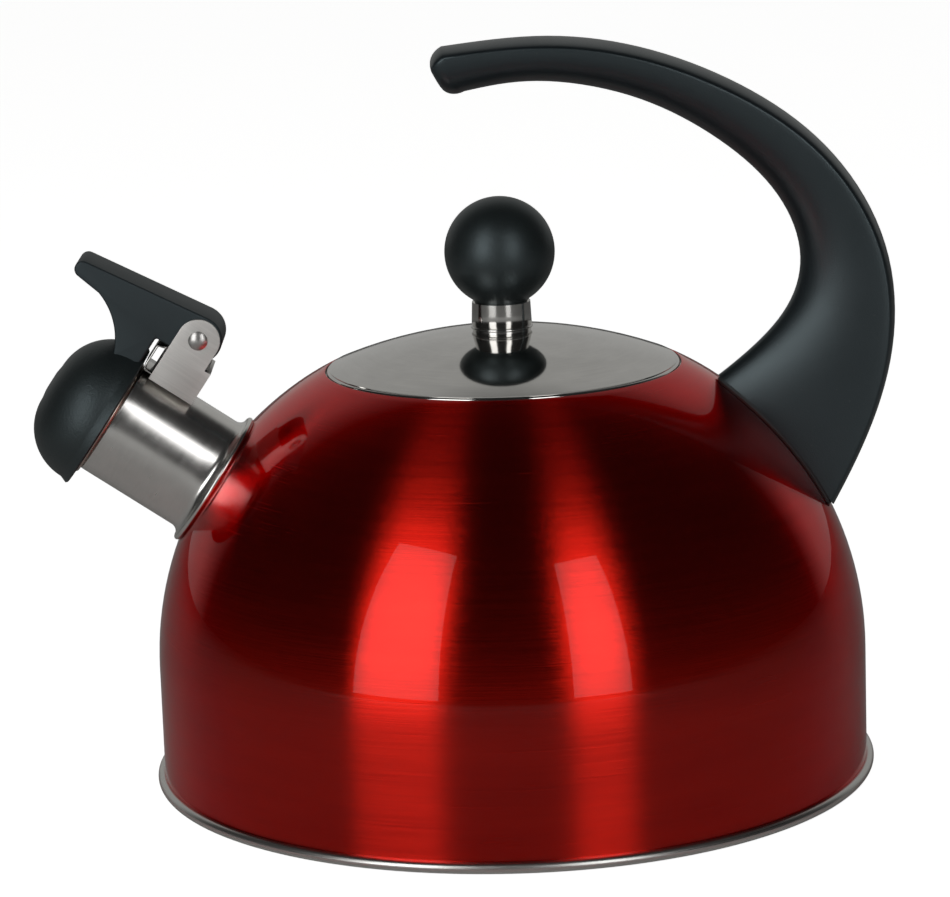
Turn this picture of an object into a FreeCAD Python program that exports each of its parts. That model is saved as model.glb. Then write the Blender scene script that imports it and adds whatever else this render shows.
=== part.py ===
import FreeCAD, Part
import math
import os

# Stovetop whistling kettle. Millimetres. The origin is the middle of the flat underside, +Z is up
# the kettle's own axis, +X points to the handle's root and -X to the spout, and the handle, spout
# and lever all lie in the XZ plane. Angles are in degrees.

# Kettle body: a straight wall, a shoulder arc and a flatter crown arc, all tangent
body_r = 105.5
body_wall = 0.6
wall_top_z = 36.0
shoulder_r = 97.3
shoulder_turn = 55.6
crown_r = 80.1

# Lid seat: the body steps down under the lid's edge, runs in as a shelf and turns down as a neck
lid_r = 52.1
lid_edge_gap = 0.4
seat_drop = 1.3
opening_r = 46.0
neck_depth = 7.8
edge_round = 0.4

# Base: a pan with a rolled rim, and a steel cap that holds an aluminium core under the pan
rim_bead_r = 1.6
rim_overhang = 0.5
rim_centre_r = body_r + rim_overhang
rim_lift = 0.4
shell_foot_z = 1.4
pan_z = 5.0
pan_thickness = 0.8
pan_hem_width = 1.6
base_cap_r = 88.0
base_cap_wall = 0.6
base_cap_round = 2.0

# Lid: a shallow spherical shell with a hemmed edge, and a collar that centres it in the neck
lid_height = 10.3
lid_wall = 0.6
lid_hem = 1.5
lid_hem_width = 2.4
seat_gap = 0.1
collar_gap = 0.3
collar_wall = 0.6
collar_depth = 9.0

# Knob: a ball on a ferrule, held by a screw from under the lid
ball_r = 16.65
ball_centre_height = 23.1
ferrule_top_r = 8.6
ferrule_foot_r = 9.1
ferrule_wall = 0.8
ferrule_bead_r = 0.45
ferrule_bead_height = 0.9
knob_thread_r = 2.5
knob_insert_r = 4.0
knob_insert_length = 12.0
knob_screw_grip = 8.0
knob_head_r = 4.6
knob_head_height = 3.2
driver_slot_length = 5.6
driver_slot_width = 1.1
knob_washer_r = 7.5
knob_washer_thickness = 1.0
screw_clearance = 0.2

# Spout: its axis leaves the shoulder at right angles, so it is set by its tilt above the horizontal
spout_tilt = 34.7
spout_r = 18.0
spout_wall = 0.8
spout_length = 35.9
spout_seat = 2.1
flange_r = 21.2
flange_bead_r = 0.8
flange_fillet = 2.6
spout_tail = 5.0
ring_wall = 1.6
ring_height = 2.0
seal_thickness = 0.8
seal_width = 3.2

# Whistle bracket: a folded sheet on top of the spout, with two ears, a base and a rear web
bracket_back_u = 18.6
bracket_front_u = 33.3
bracket_sheet = 1.0
bracket_sink = 0.4
ear_back_u = 20.7
ear_half_gap = 9.8
ear_r = 6.3
web_height = 9.7
bracket_bend_r = 1.6
pivot_u = 27.1
pivot_v = 34.9

# Pivot rivet and its running fit in the lever
rivet_r = 1.6
rivet_head_r = 2.8
rivet_head_height = 1.2
rivet_fit = 0.05

# Stop clip: a spring-steel strip on the bracket's base that stands up in front of the ears
clip_sheet = 0.5
clip_height = 8.8
clip_front_u = 36.3
clip_wing = 2.7
clip_back_gap = 2.0
clip_side_gap = 0.9

# Lever: one moulding from the hub to the thumb tip, with its foot on the whistle cap
lever_width = 19.0
hub_r = 7.0
lever_back_u = 27.8
lever_tip_u = 68.9
lever_tip_drop = 5.1
lever_tip_height = 4.9
lever_tip_bulge = 2.0
lever_round = 1.3
lever_foot_u = 37.8
recess_height = 28.6
thumb_arc_u = 58.9
thumb_arc_v = 30.9
web_arc_u = 50.9
web_arc_v = 25.9
foot_front_u = 45.0
foot_front_v = 14.0

# Whistle cap: a domed cover with a wide rim, and the whistle pieces inside it
cap_rim_u = 36.8
cap_rim_r = 23.3
cap_side_r = 22.4
cap_shoulder_r = 16.8
cap_front_u = 56.8
cap_front_drop = 0.5
cap_drop = 0.9
cap_wall = 2.6
cap_bore_depth = 8.0
vent_r = 2.6
cup_r = 18.8
cup_wall = 0.6
plug_r = 15.4
plug_depth = 2.8
cup_seat_gap = 0.1
steam_hole_r = 3.0
disc_r = 11.0
disc_height = 2.4
disc_wall = 0.5
disc_hole_r = 1.6
lever_screw_u = 41.5
lever_screw_r = 1.5
lever_screw_head_r = 2.8
lever_screw_head_height = 1.6
lever_screw_grip = 9.0

# Handle: a crescent. Each station gives the back edge (x, z), the inner edge (x, z), half the width
# across the back, and how far the back is crowned. The first station is where the tip's rounding
# starts, and the last one lies inside the body, where the handle is cut to the dome.
handle_stations = [
    ((-15.2, 216.6), (-8.7, 203.6), 10.6, 1.0),
    ((16.0, 218.6), (12.5, 205.9), 11.8, 1.2),
    ((46.6, 213.4), (39.0, 200.9), 12.0, 1.5),
    ((75.3, 200.6), (62.5, 188.8), 12.0, 1.8),
    ((98.4, 181.6), (80.2, 172.5), 12.0, 2.1),
    ((113.0, 154.9), (88.0, 154.0), 12.0, 2.4),
    ((114.7, 124.5), (84.0, 137.0), 12.0, 2.5),
    ((105.6, 95.3), (70.0, 122.2), 11.6, 2.2),
    ((91.0, 67.5), (50.0, 107.5), 11.0, 1.8),
]
handle_sections = 25
handle_tip_length = 5.4
handle_tip_round = 3.6
handle_tip_turn = 80.0
handle_tip_steps = 5
handle_corner = 0.8
pad_thickness = 0.8
pad_inset = 0.7
handle_screw_angles = (33.0, 48.5)
handle_insert_r = 3.6
handle_insert_length = 11.0
handle_thread_r = 2.5
handle_screw_grip = 8.5
handle_head_r = 4.4
handle_head_height = 2.6
handle_washer_r = 6.5
handle_washer_thickness = 1.0
handle_seal_r = 5.5
handle_seal_thickness = 1.0

Z_AXIS = FreeCAD.Vector(0, 0, 1)
Y_AXIS = FreeCAD.Vector(0, 1, 0)
ORIGIN = FreeCAD.Vector(0, 0, 0)


def point(r, z):
    """A point in the XZ half-plane, where turned profiles are drawn."""
    return FreeCAD.Vector(r, 0, z)


def polar(centre, radius, angle):
    """The (r, z) at an angle above the horizontal on a circle drawn in the XZ plane."""
    turn = math.radians(angle)
    return (centre[0] + radius * math.cos(turn), centre[1] + radius * math.sin(turn))


def outline(start, *steps):
    """A closed face: each step is an end point, or a middle point and an end point for an arc."""
    edges = []
    here = start
    for step in steps + (start,):
        arc = isinstance(step[0], tuple)
        end = step[1] if arc else step
        if arc:
            edges.append(Part.Arc(point(*here), point(*step[0]), point(*end)).toShape())
        elif point(*here).distanceToPoint(point(*end)) > 1e-6:
            edges.append(Part.LineSegment(point(*here), point(*end)).toShape())
        here = end
    return Part.Face(Part.Wire(edges))


def turned(face):
    """The solid swept by a half-plane outline turned once round the Z axis."""
    return face.revolve(ORIGIN, Z_AXIS, 360)


def ring_edges(shape, radius, height):
    """The circular edges of a turned solid at one radius and height."""
    found = []
    for edge in shape.Edges:
        curve = edge.Curve
        if not isinstance(curve, Part.Circle):
            continue
        if abs(curve.Radius - radius) < 0.02 and abs(curve.Center.z - height) < 0.02:
            found.append(edge)
    return found


def cylinder(radius, height, base=ORIGIN, axis=Z_AXIS):
    return Part.makeCylinder(radius, height, base, axis)


# The dome: centres of its two arcs, and the lid's sphere that closes it

shoulder_centre = (body_r - shoulder_r, wall_top_z)
knuckle = polar(shoulder_centre, shoulder_r, shoulder_turn)
crown_centre = polar(knuckle, -crown_r, shoulder_turn)
dome_end_r = lid_r + lid_edge_gap
dome_flat_r = 10.0


def crown_z(r, offset=0.0):
    """The crown arc's height at a radius, on the surface moved outwards by offset."""
    across = r - crown_centre[0]
    return crown_centre[1] + math.sqrt((crown_r + offset) ** 2 - across ** 2)


def dome_point(angle, offset=0.0):
    """The (r, z) of the dome where its normal leans up by angle, moved outwards by offset."""
    if angle <= shoulder_turn:
        return polar(shoulder_centre, shoulder_r + offset, angle)
    return polar(crown_centre, crown_r + offset, angle)


def dome_angle(r, offset=0.0):
    """The crown arc's normal angle at a radius."""
    return math.degrees(math.acos((r - crown_centre[0]) / (crown_r + offset)))


def dome_arcs(end_r, offset=0.0):
    """The shoulder arc and the crown arc, from the wall's top in to a radius."""
    crown_mid = (shoulder_turn + dome_angle(end_r, offset)) / 2
    return [
        (dome_point(shoulder_turn / 2, offset), dome_point(shoulder_turn, offset)),
        (polar(crown_centre, crown_r + offset, crown_mid), (end_r, crown_z(end_r, offset))),
    ]


def dome_block(offset):
    """Everything under the dome moved outwards by offset, as one solid closed flat at its middle."""
    top_z = crown_z(dome_flat_r, offset)
    wall_r = body_r + offset
    arcs = dome_arcs(dome_flat_r, offset)
    return turned(outline((0, 0), (wall_r, 0), (wall_r, wall_top_z), *arcs, (0, top_z)))


dome_end_z = crown_z(dome_end_r)
shelf_z = dome_end_z - seat_drop
lid_bottom_z = shelf_z + seat_gap
lid_edge_z = lid_bottom_z + lid_hem
lid_sphere_r = (lid_r ** 2 + lid_height ** 2) / (2 * lid_height)
lid_top_z = lid_edge_z + lid_height
lid_sphere_z = lid_top_z - lid_sphere_r


def lid_z(r, depth=0.0):
    """The lid's height at a radius, depth below its outer surface."""
    return lid_sphere_z + math.sqrt((lid_sphere_r - depth) ** 2 - r ** 2)


# The spout's own frame: u runs out along its axis, v up across it and y stays y. Shapes are drawn
# with v as x and u as z, and placed by spout_frame.

tilt = math.radians(spout_tilt)
flange_out = shoulder_r - spout_seat
spout_origin = FreeCAD.Vector(
    -shoulder_centre[0] - flange_out * math.cos(tilt),
    0,
    shoulder_centre[1] + flange_out * math.sin(tilt),
)
spout_axis = FreeCAD.Vector(-math.cos(tilt), 0, math.sin(tilt))
spout_up = FreeCAD.Vector(math.sin(tilt), 0, math.cos(tilt))
spout_frame = FreeCAD.Placement(spout_origin, FreeCAD.Rotation(spout_up, Y_AXIS, spout_axis))


def on_spout(shape):
    """A shape drawn in the spout's frame, moved to its place on the kettle."""
    placed = shape.copy()
    placed.Placement = spout_frame.multiply(placed.Placement)
    return placed


def below_axis(shape):
    """A shape drawn on the spout's axis, moved to the whistle cap's own axis just below it."""
    moved = shape.copy()
    moved.translate(FreeCAD.Vector(-cap_drop, 0, 0))
    return moved


def slab(face, half_width):
    """An outline in the XZ plane thickened to both sides of it."""
    moved = face.copy()
    moved.translate(FreeCAD.Vector(0, -half_width, 0))
    return moved.extrude(FreeCAD.Vector(0, 2 * half_width, 0))


# Body

def body_shell_whole():
    """The shell before its holes are cut."""
    inner_r = body_r - body_wall
    step_r = dome_end_r + body_wall
    neck_foot_z = shelf_z - neck_depth
    outer = dome_arcs(dome_end_r)
    back_angle = (shoulder_turn + dome_angle(step_r, -body_wall)) / 2
    inner_back = [
        (polar(crown_centre, crown_r - body_wall, back_angle), dome_point(shoulder_turn, -body_wall)),
        (dome_point(shoulder_turn / 2, -body_wall), (inner_r, wall_top_z)),
    ]
    shell = turned(outline(
        (inner_r, shell_foot_z),
        (body_r, shell_foot_z),
        (body_r, wall_top_z),
        *outer,
        (dome_end_r, shelf_z),
        (opening_r, shelf_z),
        (opening_r, neck_foot_z),
        (opening_r + body_wall, neck_foot_z),
        (opening_r + body_wall, shelf_z - body_wall),
        (step_r, shelf_z - body_wall),
        (step_r, crown_z(step_r, -body_wall)),
        *inner_back,
    ))
    soft = ring_edges(shell, dome_end_r, dome_end_z) + ring_edges(shell, opening_r, shelf_z)
    return shell.makeFillet(edge_round, soft)


def handle_screw_axes():
    """For each handle screw, the point where its axis leaves the dome, and its direction."""
    axes = []
    for angle in handle_screw_angles:
        r, z = dome_point(angle)
        lean = math.radians(angle)
        axes.append((point(r, z), FreeCAD.Vector(math.cos(lean), 0, math.sin(lean))))
    return axes


def screw_holes(radius, start, length):
    """One cylinder along each handle screw, from start, measured outwards from the dome."""
    drills = []
    for place, axis in handle_screw_axes():
        drills.append(cylinder(radius, length, place + axis * start, axis))
    return drills


def body_shell():
    shell = body_shell_whole()
    spout_hole = on_spout(cylinder(spout_r, 2 * spout_tail, FreeCAD.Vector(0, 0, -spout_tail)))
    drills = screw_holes(handle_thread_r + screw_clearance, -3 * body_wall, 6 * body_wall)
    return shell.cut([spout_hole] + drills)


# Base

rim_centre_z = rim_lift + rim_bead_r


def base_pan():
    inner_r = body_r - body_wall
    plate = cylinder(inner_r, pan_thickness, FreeCAD.Vector(0, 0, pan_z))
    hem_r = inner_r - pan_hem_width
    skirt = turned(outline(
        (hem_r, rim_lift),
        (rim_centre_r, rim_lift),
        (rim_centre_r, shell_foot_z),
        (inner_r, shell_foot_z),
        (inner_r, pan_z + pan_thickness),
        (hem_r, pan_z + pan_thickness),
    ))
    bead = Part.makeTorus(rim_centre_r, rim_bead_r, FreeCAD.Vector(0, 0, rim_centre_z))
    return plate.fuse([skirt, bead]).cut(body_shell_whole()).removeSplitter()


def base_puck(radius, bottom_z, corner):
    """A flat puck up to the pan's underside, with its lower edge rounded."""
    puck = cylinder(radius, pan_z - bottom_z, FreeCAD.Vector(0, 0, bottom_z))
    return puck.makeFillet(corner, ring_edges(puck, radius, bottom_z))


def base_core():
    return base_puck(base_cap_r - base_cap_wall, base_cap_wall, base_cap_round - base_cap_wall)


def base_cap():
    return base_puck(base_cap_r, 0, base_cap_round).cut(base_core())


# Spout

def spout_tube():
    inner_r = spout_r - spout_wall
    bead_u = flange_bead_r
    wall_u = 2 * flange_bead_r
    bend = (spout_r + flange_fillet, wall_u + flange_fillet)
    tube = turned(outline(
        (inner_r, -spout_tail),
        (spout_r, -spout_tail),
        (spout_r, 0),
        (flange_r - flange_bead_r, 0),
        ((flange_r, bead_u), (flange_r - flange_bead_r, wall_u)),
        (bend[0], wall_u),
        (polar(bend, flange_fillet, 225), (spout_r, bend[1])),
        (spout_r, spout_length),
        (inner_r, spout_length),
    ))
    foot = turned(outline(
        (spout_r, -spout_tail),
        (flange_r - flange_bead_r, -spout_tail),
        (flange_r - flange_bead_r, flange_bead_r),
        (spout_r, flange_bead_r),
    ))
    seated_foot = on_spout(foot).cut(dome_block(0))
    return on_spout(tube).fuse(seated_foot).removeSplitter()


def inside_collar(inner_r, outer_r, top, bottom):
    """A ring round the spout's tail under the dome, its top fitted to the dome's inner side."""
    block = turned(outline((inner_r, bottom), (outer_r, bottom), (outer_r, top), (inner_r, top)))
    return on_spout(block)


def spout_seal():
    tall = inside_collar(spout_r, spout_r + seal_width, spout_tail, -2 * spout_tail)
    outer_skin = dome_block(-body_wall)
    inner_skin = dome_block(-body_wall - seal_thickness)
    return tall.common(outer_skin).cut(inner_skin)


def spout_ring():
    tall = inside_collar(spout_r, spout_r + ring_wall, spout_tail, -2 * spout_tail)
    outer_skin = dome_block(-body_wall - seal_thickness)
    inner_skin = dome_block(-body_wall - seal_thickness - ring_height)
    return tall.common(outer_skin).cut(inner_skin)


# Bracket, rivet and clip

base_v = spout_r + bracket_sheet - bracket_sink
ear_out = ear_half_gap + bracket_sheet


def uv(u, v):
    """A point of the spout's frame as drawn: v along x and u along z."""
    return (v, u)


def whistle_bracket():
    floor_v = spout_r - bracket_sink
    crown_v = pivot_v + ear_r
    web_v = base_v + web_height
    ear = outline(
        uv(bracket_back_u, floor_v),
        uv(bracket_front_u, floor_v),
        uv(bracket_front_u, pivot_v),
        (uv(pivot_u, crown_v), uv(ear_back_u, pivot_v)),
        uv(ear_back_u, web_v),
        uv(bracket_back_u, web_v),
    )
    length = bracket_front_u - bracket_back_u
    ears = slab(ear, ear_out)
    hollow = Part.makeBox(
        crown_v,
        2 * ear_half_gap,
        2 * length,
        FreeCAD.Vector(base_v, -ear_half_gap, bracket_back_u + bracket_sheet),
    )
    bracket = ears.cut(hollow)
    above_web = Part.makeBox(
        crown_v,
        2 * ear_half_gap,
        2 * length,
        FreeCAD.Vector(web_v, -ear_half_gap, bracket_back_u),
    )
    bracket = bracket.cut(above_web)
    upright = [edge for edge in bracket.Edges if is_bracket_bend(edge)]
    bracket = bracket.makeFillet(bracket_bend_r, upright)
    tube = cylinder(spout_r, 2 * spout_length)
    pin = cylinder(rivet_r, 4 * ear_out, FreeCAD.Vector(pivot_v, -2 * ear_out, pivot_u), Y_AXIS)
    return on_spout(bracket.cut([tube, pin]))


def is_bracket_bend(edge):
    """The two outer upright edges where the ears are folded off the web."""
    box = edge.BoundBox
    at_back = abs(box.ZMin - bracket_back_u) < 0.01 and box.ZLength < 0.01
    at_side = abs(max(abs(box.YMin), abs(box.YMax)) - ear_out) < 0.01 and box.YLength < 0.01
    return at_back and at_side and box.XLength > web_height / 2


def pivot_rivet():
    shank = cylinder(rivet_r, 2 * ear_out, FreeCAD.Vector(pivot_v, -ear_out, pivot_u), Y_AXIS)
    dome_r = (rivet_head_r ** 2 + rivet_head_height ** 2) / (2 * rivet_head_height)
    heads = []
    for side in (-1, 1):
        outward = Y_AXIS * side
        seat = FreeCAD.Vector(pivot_v, side * ear_out, pivot_u)
        plug = cylinder(rivet_head_r, rivet_head_height, seat, outward)
        ball = Part.makeSphere(dome_r, seat + outward * (rivet_head_height - dome_r))
        heads.append(plug.common(ball))
    return on_spout(shank.fuse(heads))


def stop_clip():
    half = ear_half_gap - clip_side_gap
    start_u = bracket_back_u + bracket_sheet + clip_back_gap
    top_v = base_v + clip_height
    strip = slab(outline(
        uv(start_u, base_v),
        uv(clip_front_u, base_v),
        uv(clip_front_u, top_v),
        uv(clip_front_u - clip_wing, top_v + clip_sheet),
        uv(clip_front_u - clip_wing, top_v),
        uv(clip_front_u - clip_sheet, top_v - clip_sheet),
        uv(clip_front_u - clip_sheet, base_v + clip_sheet),
        uv(start_u, base_v + clip_sheet),
    ), half)
    wing = outline(
        uv(clip_front_u, base_v),
        uv(clip_front_u, top_v),
        uv(clip_front_u - clip_wing, top_v + clip_sheet),
        uv(clip_front_u - clip_wing, base_v),
    )
    walls = slab(wing, half).cut(slab(wing, half - clip_sheet))
    return on_spout(strip.fuse(walls).removeSplitter())


# Whistle cap and what it holds

cap_corner_u = cap_front_u - cap_front_drop - cap_shoulder_r
cup_seat_u = spout_length + cup_seat_gap
cup_floor_u = cup_seat_u - plug_depth


def cap_outline(inset, rear_u, rear_r):
    """The cap's turned profile, drawn inset from its outer skin, closed along its axis."""
    front_u = cap_front_u - inset
    shoulder = cap_shoulder_r - inset
    shoulder_r0 = cap_side_r - cap_shoulder_r
    centre = (shoulder_r0, cap_corner_u)
    shoulder_mid = polar(centre, shoulder, 45)
    front_edge = (shoulder_r0, cap_corner_u + shoulder)
    front_mid = (shoulder_r0 / 2, front_u - cap_front_drop / 4)
    return outline(
        (0, rear_u),
        (rear_r, rear_u),
        (cap_side_r - inset, max(rear_u, cap_corner_u)),
        (shoulder_mid, front_edge),
        (front_mid, (0, front_u)),
    )


def whistle_cap_whole():
    return turned(cap_outline(0, cap_rim_u, cap_rim_r))


def whistle_cap():
    bore_u = cap_rim_u + cap_bore_depth
    bore = cylinder(cup_r, cap_bore_depth, FreeCAD.Vector(0, 0, cap_rim_u))
    room = turned(cap_outline(cap_wall, cap_corner_u, cap_side_r - cap_wall))
    room = room.common(cylinder(cup_r - cup_wall, cap_front_u, FreeCAD.Vector(0, 0, bore_u)))
    vent = cylinder(vent_r, 3 * cap_wall, FreeCAD.Vector(0, 0, cap_front_u - 2 * cap_wall))
    cap = whistle_cap_whole().cut([bore, room, vent])
    return on_spout(below_axis(cap.cut([lever_screw_drill(), lever_screw_pocket()])))


def whistle_cup():
    top_u = cap_rim_u + cap_bore_depth
    inner_r = cup_r - cup_wall
    plug_inner_r = plug_r - cup_wall
    cup = turned(outline(
        (steam_hole_r, cup_floor_u),
        (plug_r, cup_floor_u),
        (plug_r, cup_seat_u),
        (cup_r, cup_seat_u),
        (cup_r, top_u),
        (inner_r, top_u),
        (inner_r, cup_seat_u + cup_wall),
        (plug_inner_r, cup_seat_u + cup_wall),
        (plug_inner_r, cup_floor_u + cup_wall),
        (steam_hole_r, cup_floor_u + cup_wall),
    ))
    return on_spout(below_axis(cup.cut(lever_screw_pocket())))


def whistle_disc():
    foot_u = cup_floor_u + cup_wall
    top_u = foot_u + disc_height
    lip_r = disc_r - disc_height
    disc = turned(outline(
        (disc_hole_r, top_u),
        (lip_r, top_u),
        (disc_r - disc_wall, foot_u + disc_wall),
        (disc_r + disc_wall, foot_u + disc_wall),
        (disc_r + disc_wall, foot_u),
        (disc_r - disc_wall, foot_u),
        (lip_r, top_u - disc_wall),
        (disc_hole_r, top_u - disc_wall),
    ))
    return on_spout(below_axis(disc))


# Lever

head_v = cup_r - lever_screw_head_height


def lever_screw_drill():
    """The screw's clearance hole up through the cap's wall."""
    return cylinder(
        lever_screw_r + screw_clearance,
        cap_rim_r,
        FreeCAD.Vector(0, 0, lever_screw_u),
        FreeCAD.Vector(1, 0, 0),
    )


def lever_screw_pocket():
    """Room for the screw's head in the cap's bore and through the cup's wall."""
    return cylinder(
        lever_screw_head_r + screw_clearance,
        cup_r - head_v + screw_clearance,
        FreeCAD.Vector(head_v - screw_clearance, 0, lever_screw_u),
        FreeCAD.Vector(1, 0, 0),
    )


def lever_screw():
    up = FreeCAD.Vector(1, 0, 0)
    head = cylinder(
        lever_screw_head_r,
        lever_screw_head_height,
        FreeCAD.Vector(head_v, 0, lever_screw_u),
        up,
    )
    shank = cylinder(
        lever_screw_r,
        lever_screw_grip,
        FreeCAD.Vector(head_v + lever_screw_head_height, 0, lever_screw_u),
        up,
    )
    return on_spout(below_axis(head.fuse(shank).removeSplitter()))


def lever():
    back_v = pivot_v + hub_r
    tip_v = back_v - lever_tip_drop
    nose_v = tip_v - lever_tip_height
    nose_u = lever_tip_u - lever_tip_bulge
    body = outline(
        uv(lever_back_u, back_v),
        uv(nose_u, tip_v),
        (uv(lever_tip_u, (tip_v + nose_v) / 2), uv(nose_u, nose_v)),
        uv(thumb_arc_u, thumb_arc_v),
        (uv(web_arc_u, web_arc_v), uv(foot_front_u, foot_front_v)),
        uv(lever_foot_u, foot_front_v),
        uv(lever_foot_u, recess_height),
        uv(pivot_u, recess_height),
    )
    half = lever_width / 2
    blade = slab(body, half)
    blade = blade.makeFillet(lever_round, [edge for edge in blade.Edges if is_lever_edge(edge, half)])
    hub = cylinder(
        hub_r,
        lever_width,
        FreeCAD.Vector(pivot_v, -half, pivot_u),
        Y_AXIS,
    )
    whole = blade.fuse(hub).removeSplitter()
    bore = cylinder(
        rivet_r + rivet_fit,
        2 * lever_width,
        FreeCAD.Vector(pivot_v, -lever_width, pivot_u),
        Y_AXIS,
    )
    pilot = cylinder(
        lever_screw_r,
        lever_screw_grip,
        FreeCAD.Vector(head_v + lever_screw_head_height, 0, lever_screw_u),
        FreeCAD.Vector(1, 0, 0),
    )
    return on_spout(whole.cut([bore, below_axis(pilot), below_axis(whistle_cap_whole())]))


def is_lever_edge(edge, half):
    """The lever's side edges from its back round the tip and down the thumb curve."""
    box = edge.BoundBox
    on_side = abs(max(abs(box.YMin), abs(box.YMax)) - half) < 0.01 and box.YLength < 0.01
    past_hub = box.ZMin > lever_back_u - 0.1
    return on_side and past_hub and box.XMax > recess_height


# Lid and knob

def lid_arc_mid(r, depth):
    """A point half way out along the lid's arc, depth under its outer surface."""
    return (r / 2, lid_z(r / 2, depth))


def lid_shell():
    inner_hem_r = lid_r - lid_hem_width
    hem_r = lid_hem / 2
    shell = turned(outline(
        (0, lid_top_z),
        (lid_arc_mid(lid_r - hem_r, 0), (lid_r - hem_r, lid_z(lid_r - hem_r))),
        ((lid_r, lid_bottom_z + hem_r), (lid_r - hem_r, lid_bottom_z)),
        (inner_hem_r, lid_bottom_z),
        (inner_hem_r, lid_z(inner_hem_r, lid_wall)),
        (lid_arc_mid(inner_hem_r, lid_wall), (0, lid_top_z - lid_wall)),
    ))
    drill = cylinder(knob_thread_r + screw_clearance, lid_top_z)
    return shell.cut(drill)


collar_r = opening_r - collar_gap


def lid_collar():
    """A welded ring that hangs in the neck, its top trimmed to the lid's underside."""
    bottom_z = shelf_z - collar_depth
    ring = turned(outline(
        (collar_r - collar_wall, bottom_z),
        (collar_r, bottom_z),
        (collar_r, lid_top_z),
        (collar_r - collar_wall, lid_top_z),
    ))
    under_lid = Part.makeSphere(lid_sphere_r - lid_wall, FreeCAD.Vector(0, 0, lid_sphere_z))
    return ring.common(under_lid)


ball_z = lid_top_z + ball_centre_height
ball_flat_z = ball_z - math.sqrt(ball_r ** 2 - ferrule_top_r ** 2)


def knob_ball():
    ball = Part.makeSphere(ball_r, FreeCAD.Vector(0, 0, ball_z))
    below = cylinder(ball_r, ball_r, FreeCAD.Vector(0, 0, ball_flat_z - ball_r))
    pocket = cylinder(knob_insert_r, knob_insert_length, FreeCAD.Vector(0, 0, ball_flat_z))
    return ball.cut([below, pocket])


def knob_insert():
    body = cylinder(knob_insert_r, knob_insert_length, FreeCAD.Vector(0, 0, ball_flat_z))
    thread = cylinder(knob_thread_r, knob_screw_grip, FreeCAD.Vector(0, 0, ball_flat_z))
    return body.cut(thread)


def knob_ferrule():
    bead_z = lid_top_z + ferrule_bead_height
    foot_z = lid_top_z - lid_wall
    outside_foot = ferrule_foot_r - ferrule_bead_r
    sleeve = turned(outline(
        (outside_foot - ferrule_wall, foot_z),
        (outside_foot, foot_z),
        (outside_foot, bead_z - ferrule_bead_r),
        ((ferrule_foot_r, bead_z), (outside_foot, bead_z + ferrule_bead_r)),
        (ferrule_foot_r - ferrule_bead_r / 2, bead_z + 2 * ferrule_bead_r),
        (ferrule_top_r, ball_flat_z),
        (knob_thread_r + screw_clearance, ball_flat_z),
        (knob_thread_r + screw_clearance, ball_flat_z - ferrule_wall),
        (outside_foot - ferrule_wall, ball_flat_z - ferrule_wall),
    ))
    lid_ball = Part.makeSphere(lid_sphere_r, FreeCAD.Vector(0, 0, lid_sphere_z))
    return sleeve.cut(lid_ball)


inside_top_z = lid_top_z - lid_wall


def knob_washer():
    washer_z = inside_top_z - knob_washer_thickness
    washer = cylinder(knob_washer_r, 2 * knob_washer_thickness, FreeCAD.Vector(0, 0, washer_z))
    hole = cylinder(knob_thread_r + screw_clearance, lid_top_z)
    under_lid = Part.makeSphere(lid_sphere_r - lid_wall, FreeCAD.Vector(0, 0, lid_sphere_z))
    return washer.cut(hole).common(under_lid)


def knob_screw():
    head_z = inside_top_z - knob_washer_thickness - knob_head_height
    head = cylinder(knob_head_r, knob_head_height, FreeCAD.Vector(0, 0, head_z))
    head = head.makeFillet(knob_head_height / 3, ring_edges(head, knob_head_r, head_z))
    length = ball_flat_z + knob_screw_grip - head_z
    shank = cylinder(knob_thread_r, length, FreeCAD.Vector(0, 0, head_z))
    return head.fuse(shank).removeSplitter().cut(cross_slot(head_z))


def cross_slot(head_z):
    """Two crossed slots in the screw head's lower face, for a driver."""
    depth = knob_head_height / 2
    arm = driver_slot_length / 2
    half = driver_slot_width / 2
    along = Part.makeBox(2 * arm, 2 * half, depth, FreeCAD.Vector(-arm, -half, head_z))
    across = Part.makeBox(2 * half, 2 * arm, depth, FreeCAD.Vector(-half, -arm, head_z))
    return along.fuse(across)


# Handle

def smooth_track(values):
    """A smooth curve through one value of every station, read by station number."""
    track = Part.BSplineCurve()
    numbers = [float(n) for n in range(len(values))]
    track.interpolate(Points=[FreeCAD.Vector(*value) for value in values], Parameters=numbers)
    return track


back_track = smooth_track([(s[0][0], 0, s[0][1]) for s in handle_stations])
inner_track = smooth_track([(s[1][0], 0, s[1][1]) for s in handle_stations])
girth_track = smooth_track([(s[2], s[3], n) for n, s in enumerate(handle_stations)])


def handle_section(number, inset, shift):
    """The closed section at a station number, drawn inset all round and shifted along the grip."""
    back = back_track.value(number)
    inner = inner_track.value(number)
    girth = girth_track.value(number)
    inward = (inner - back).normalize()
    along = Y_AXIS.cross(inward)
    depth = back.distanceToPoint(inner)
    half = girth.x - inset
    corner = handle_corner

    def at(y, deep):
        return back + inward * deep + Y_AXIS * y + along * shift

    start = inset
    shoulder = start + girth.y
    side = shoulder + corner
    end = depth - inset
    right = quarter_ellipse(at(half, side), at(half, end), at(0, end))
    left = quarter_ellipse(at(0, end), at(-half, end), at(-half, side))
    turn = corner * (1 - math.sqrt(0.5))
    right_corner = Part.Arc(at(half - corner, shoulder), at(half - turn, shoulder + turn), at(half, side))
    left_corner = Part.Arc(at(-half, side), at(-half + turn, shoulder + turn), at(corner - half, shoulder))
    back_arc = Part.Arc(at(corner - half, shoulder), at(0, start), at(half - corner, shoulder))
    return Part.Wire([
        back_arc.toShape(),
        right_corner.toShape(),
        right,
        left,
        left_corner.toShape(),
    ])


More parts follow.
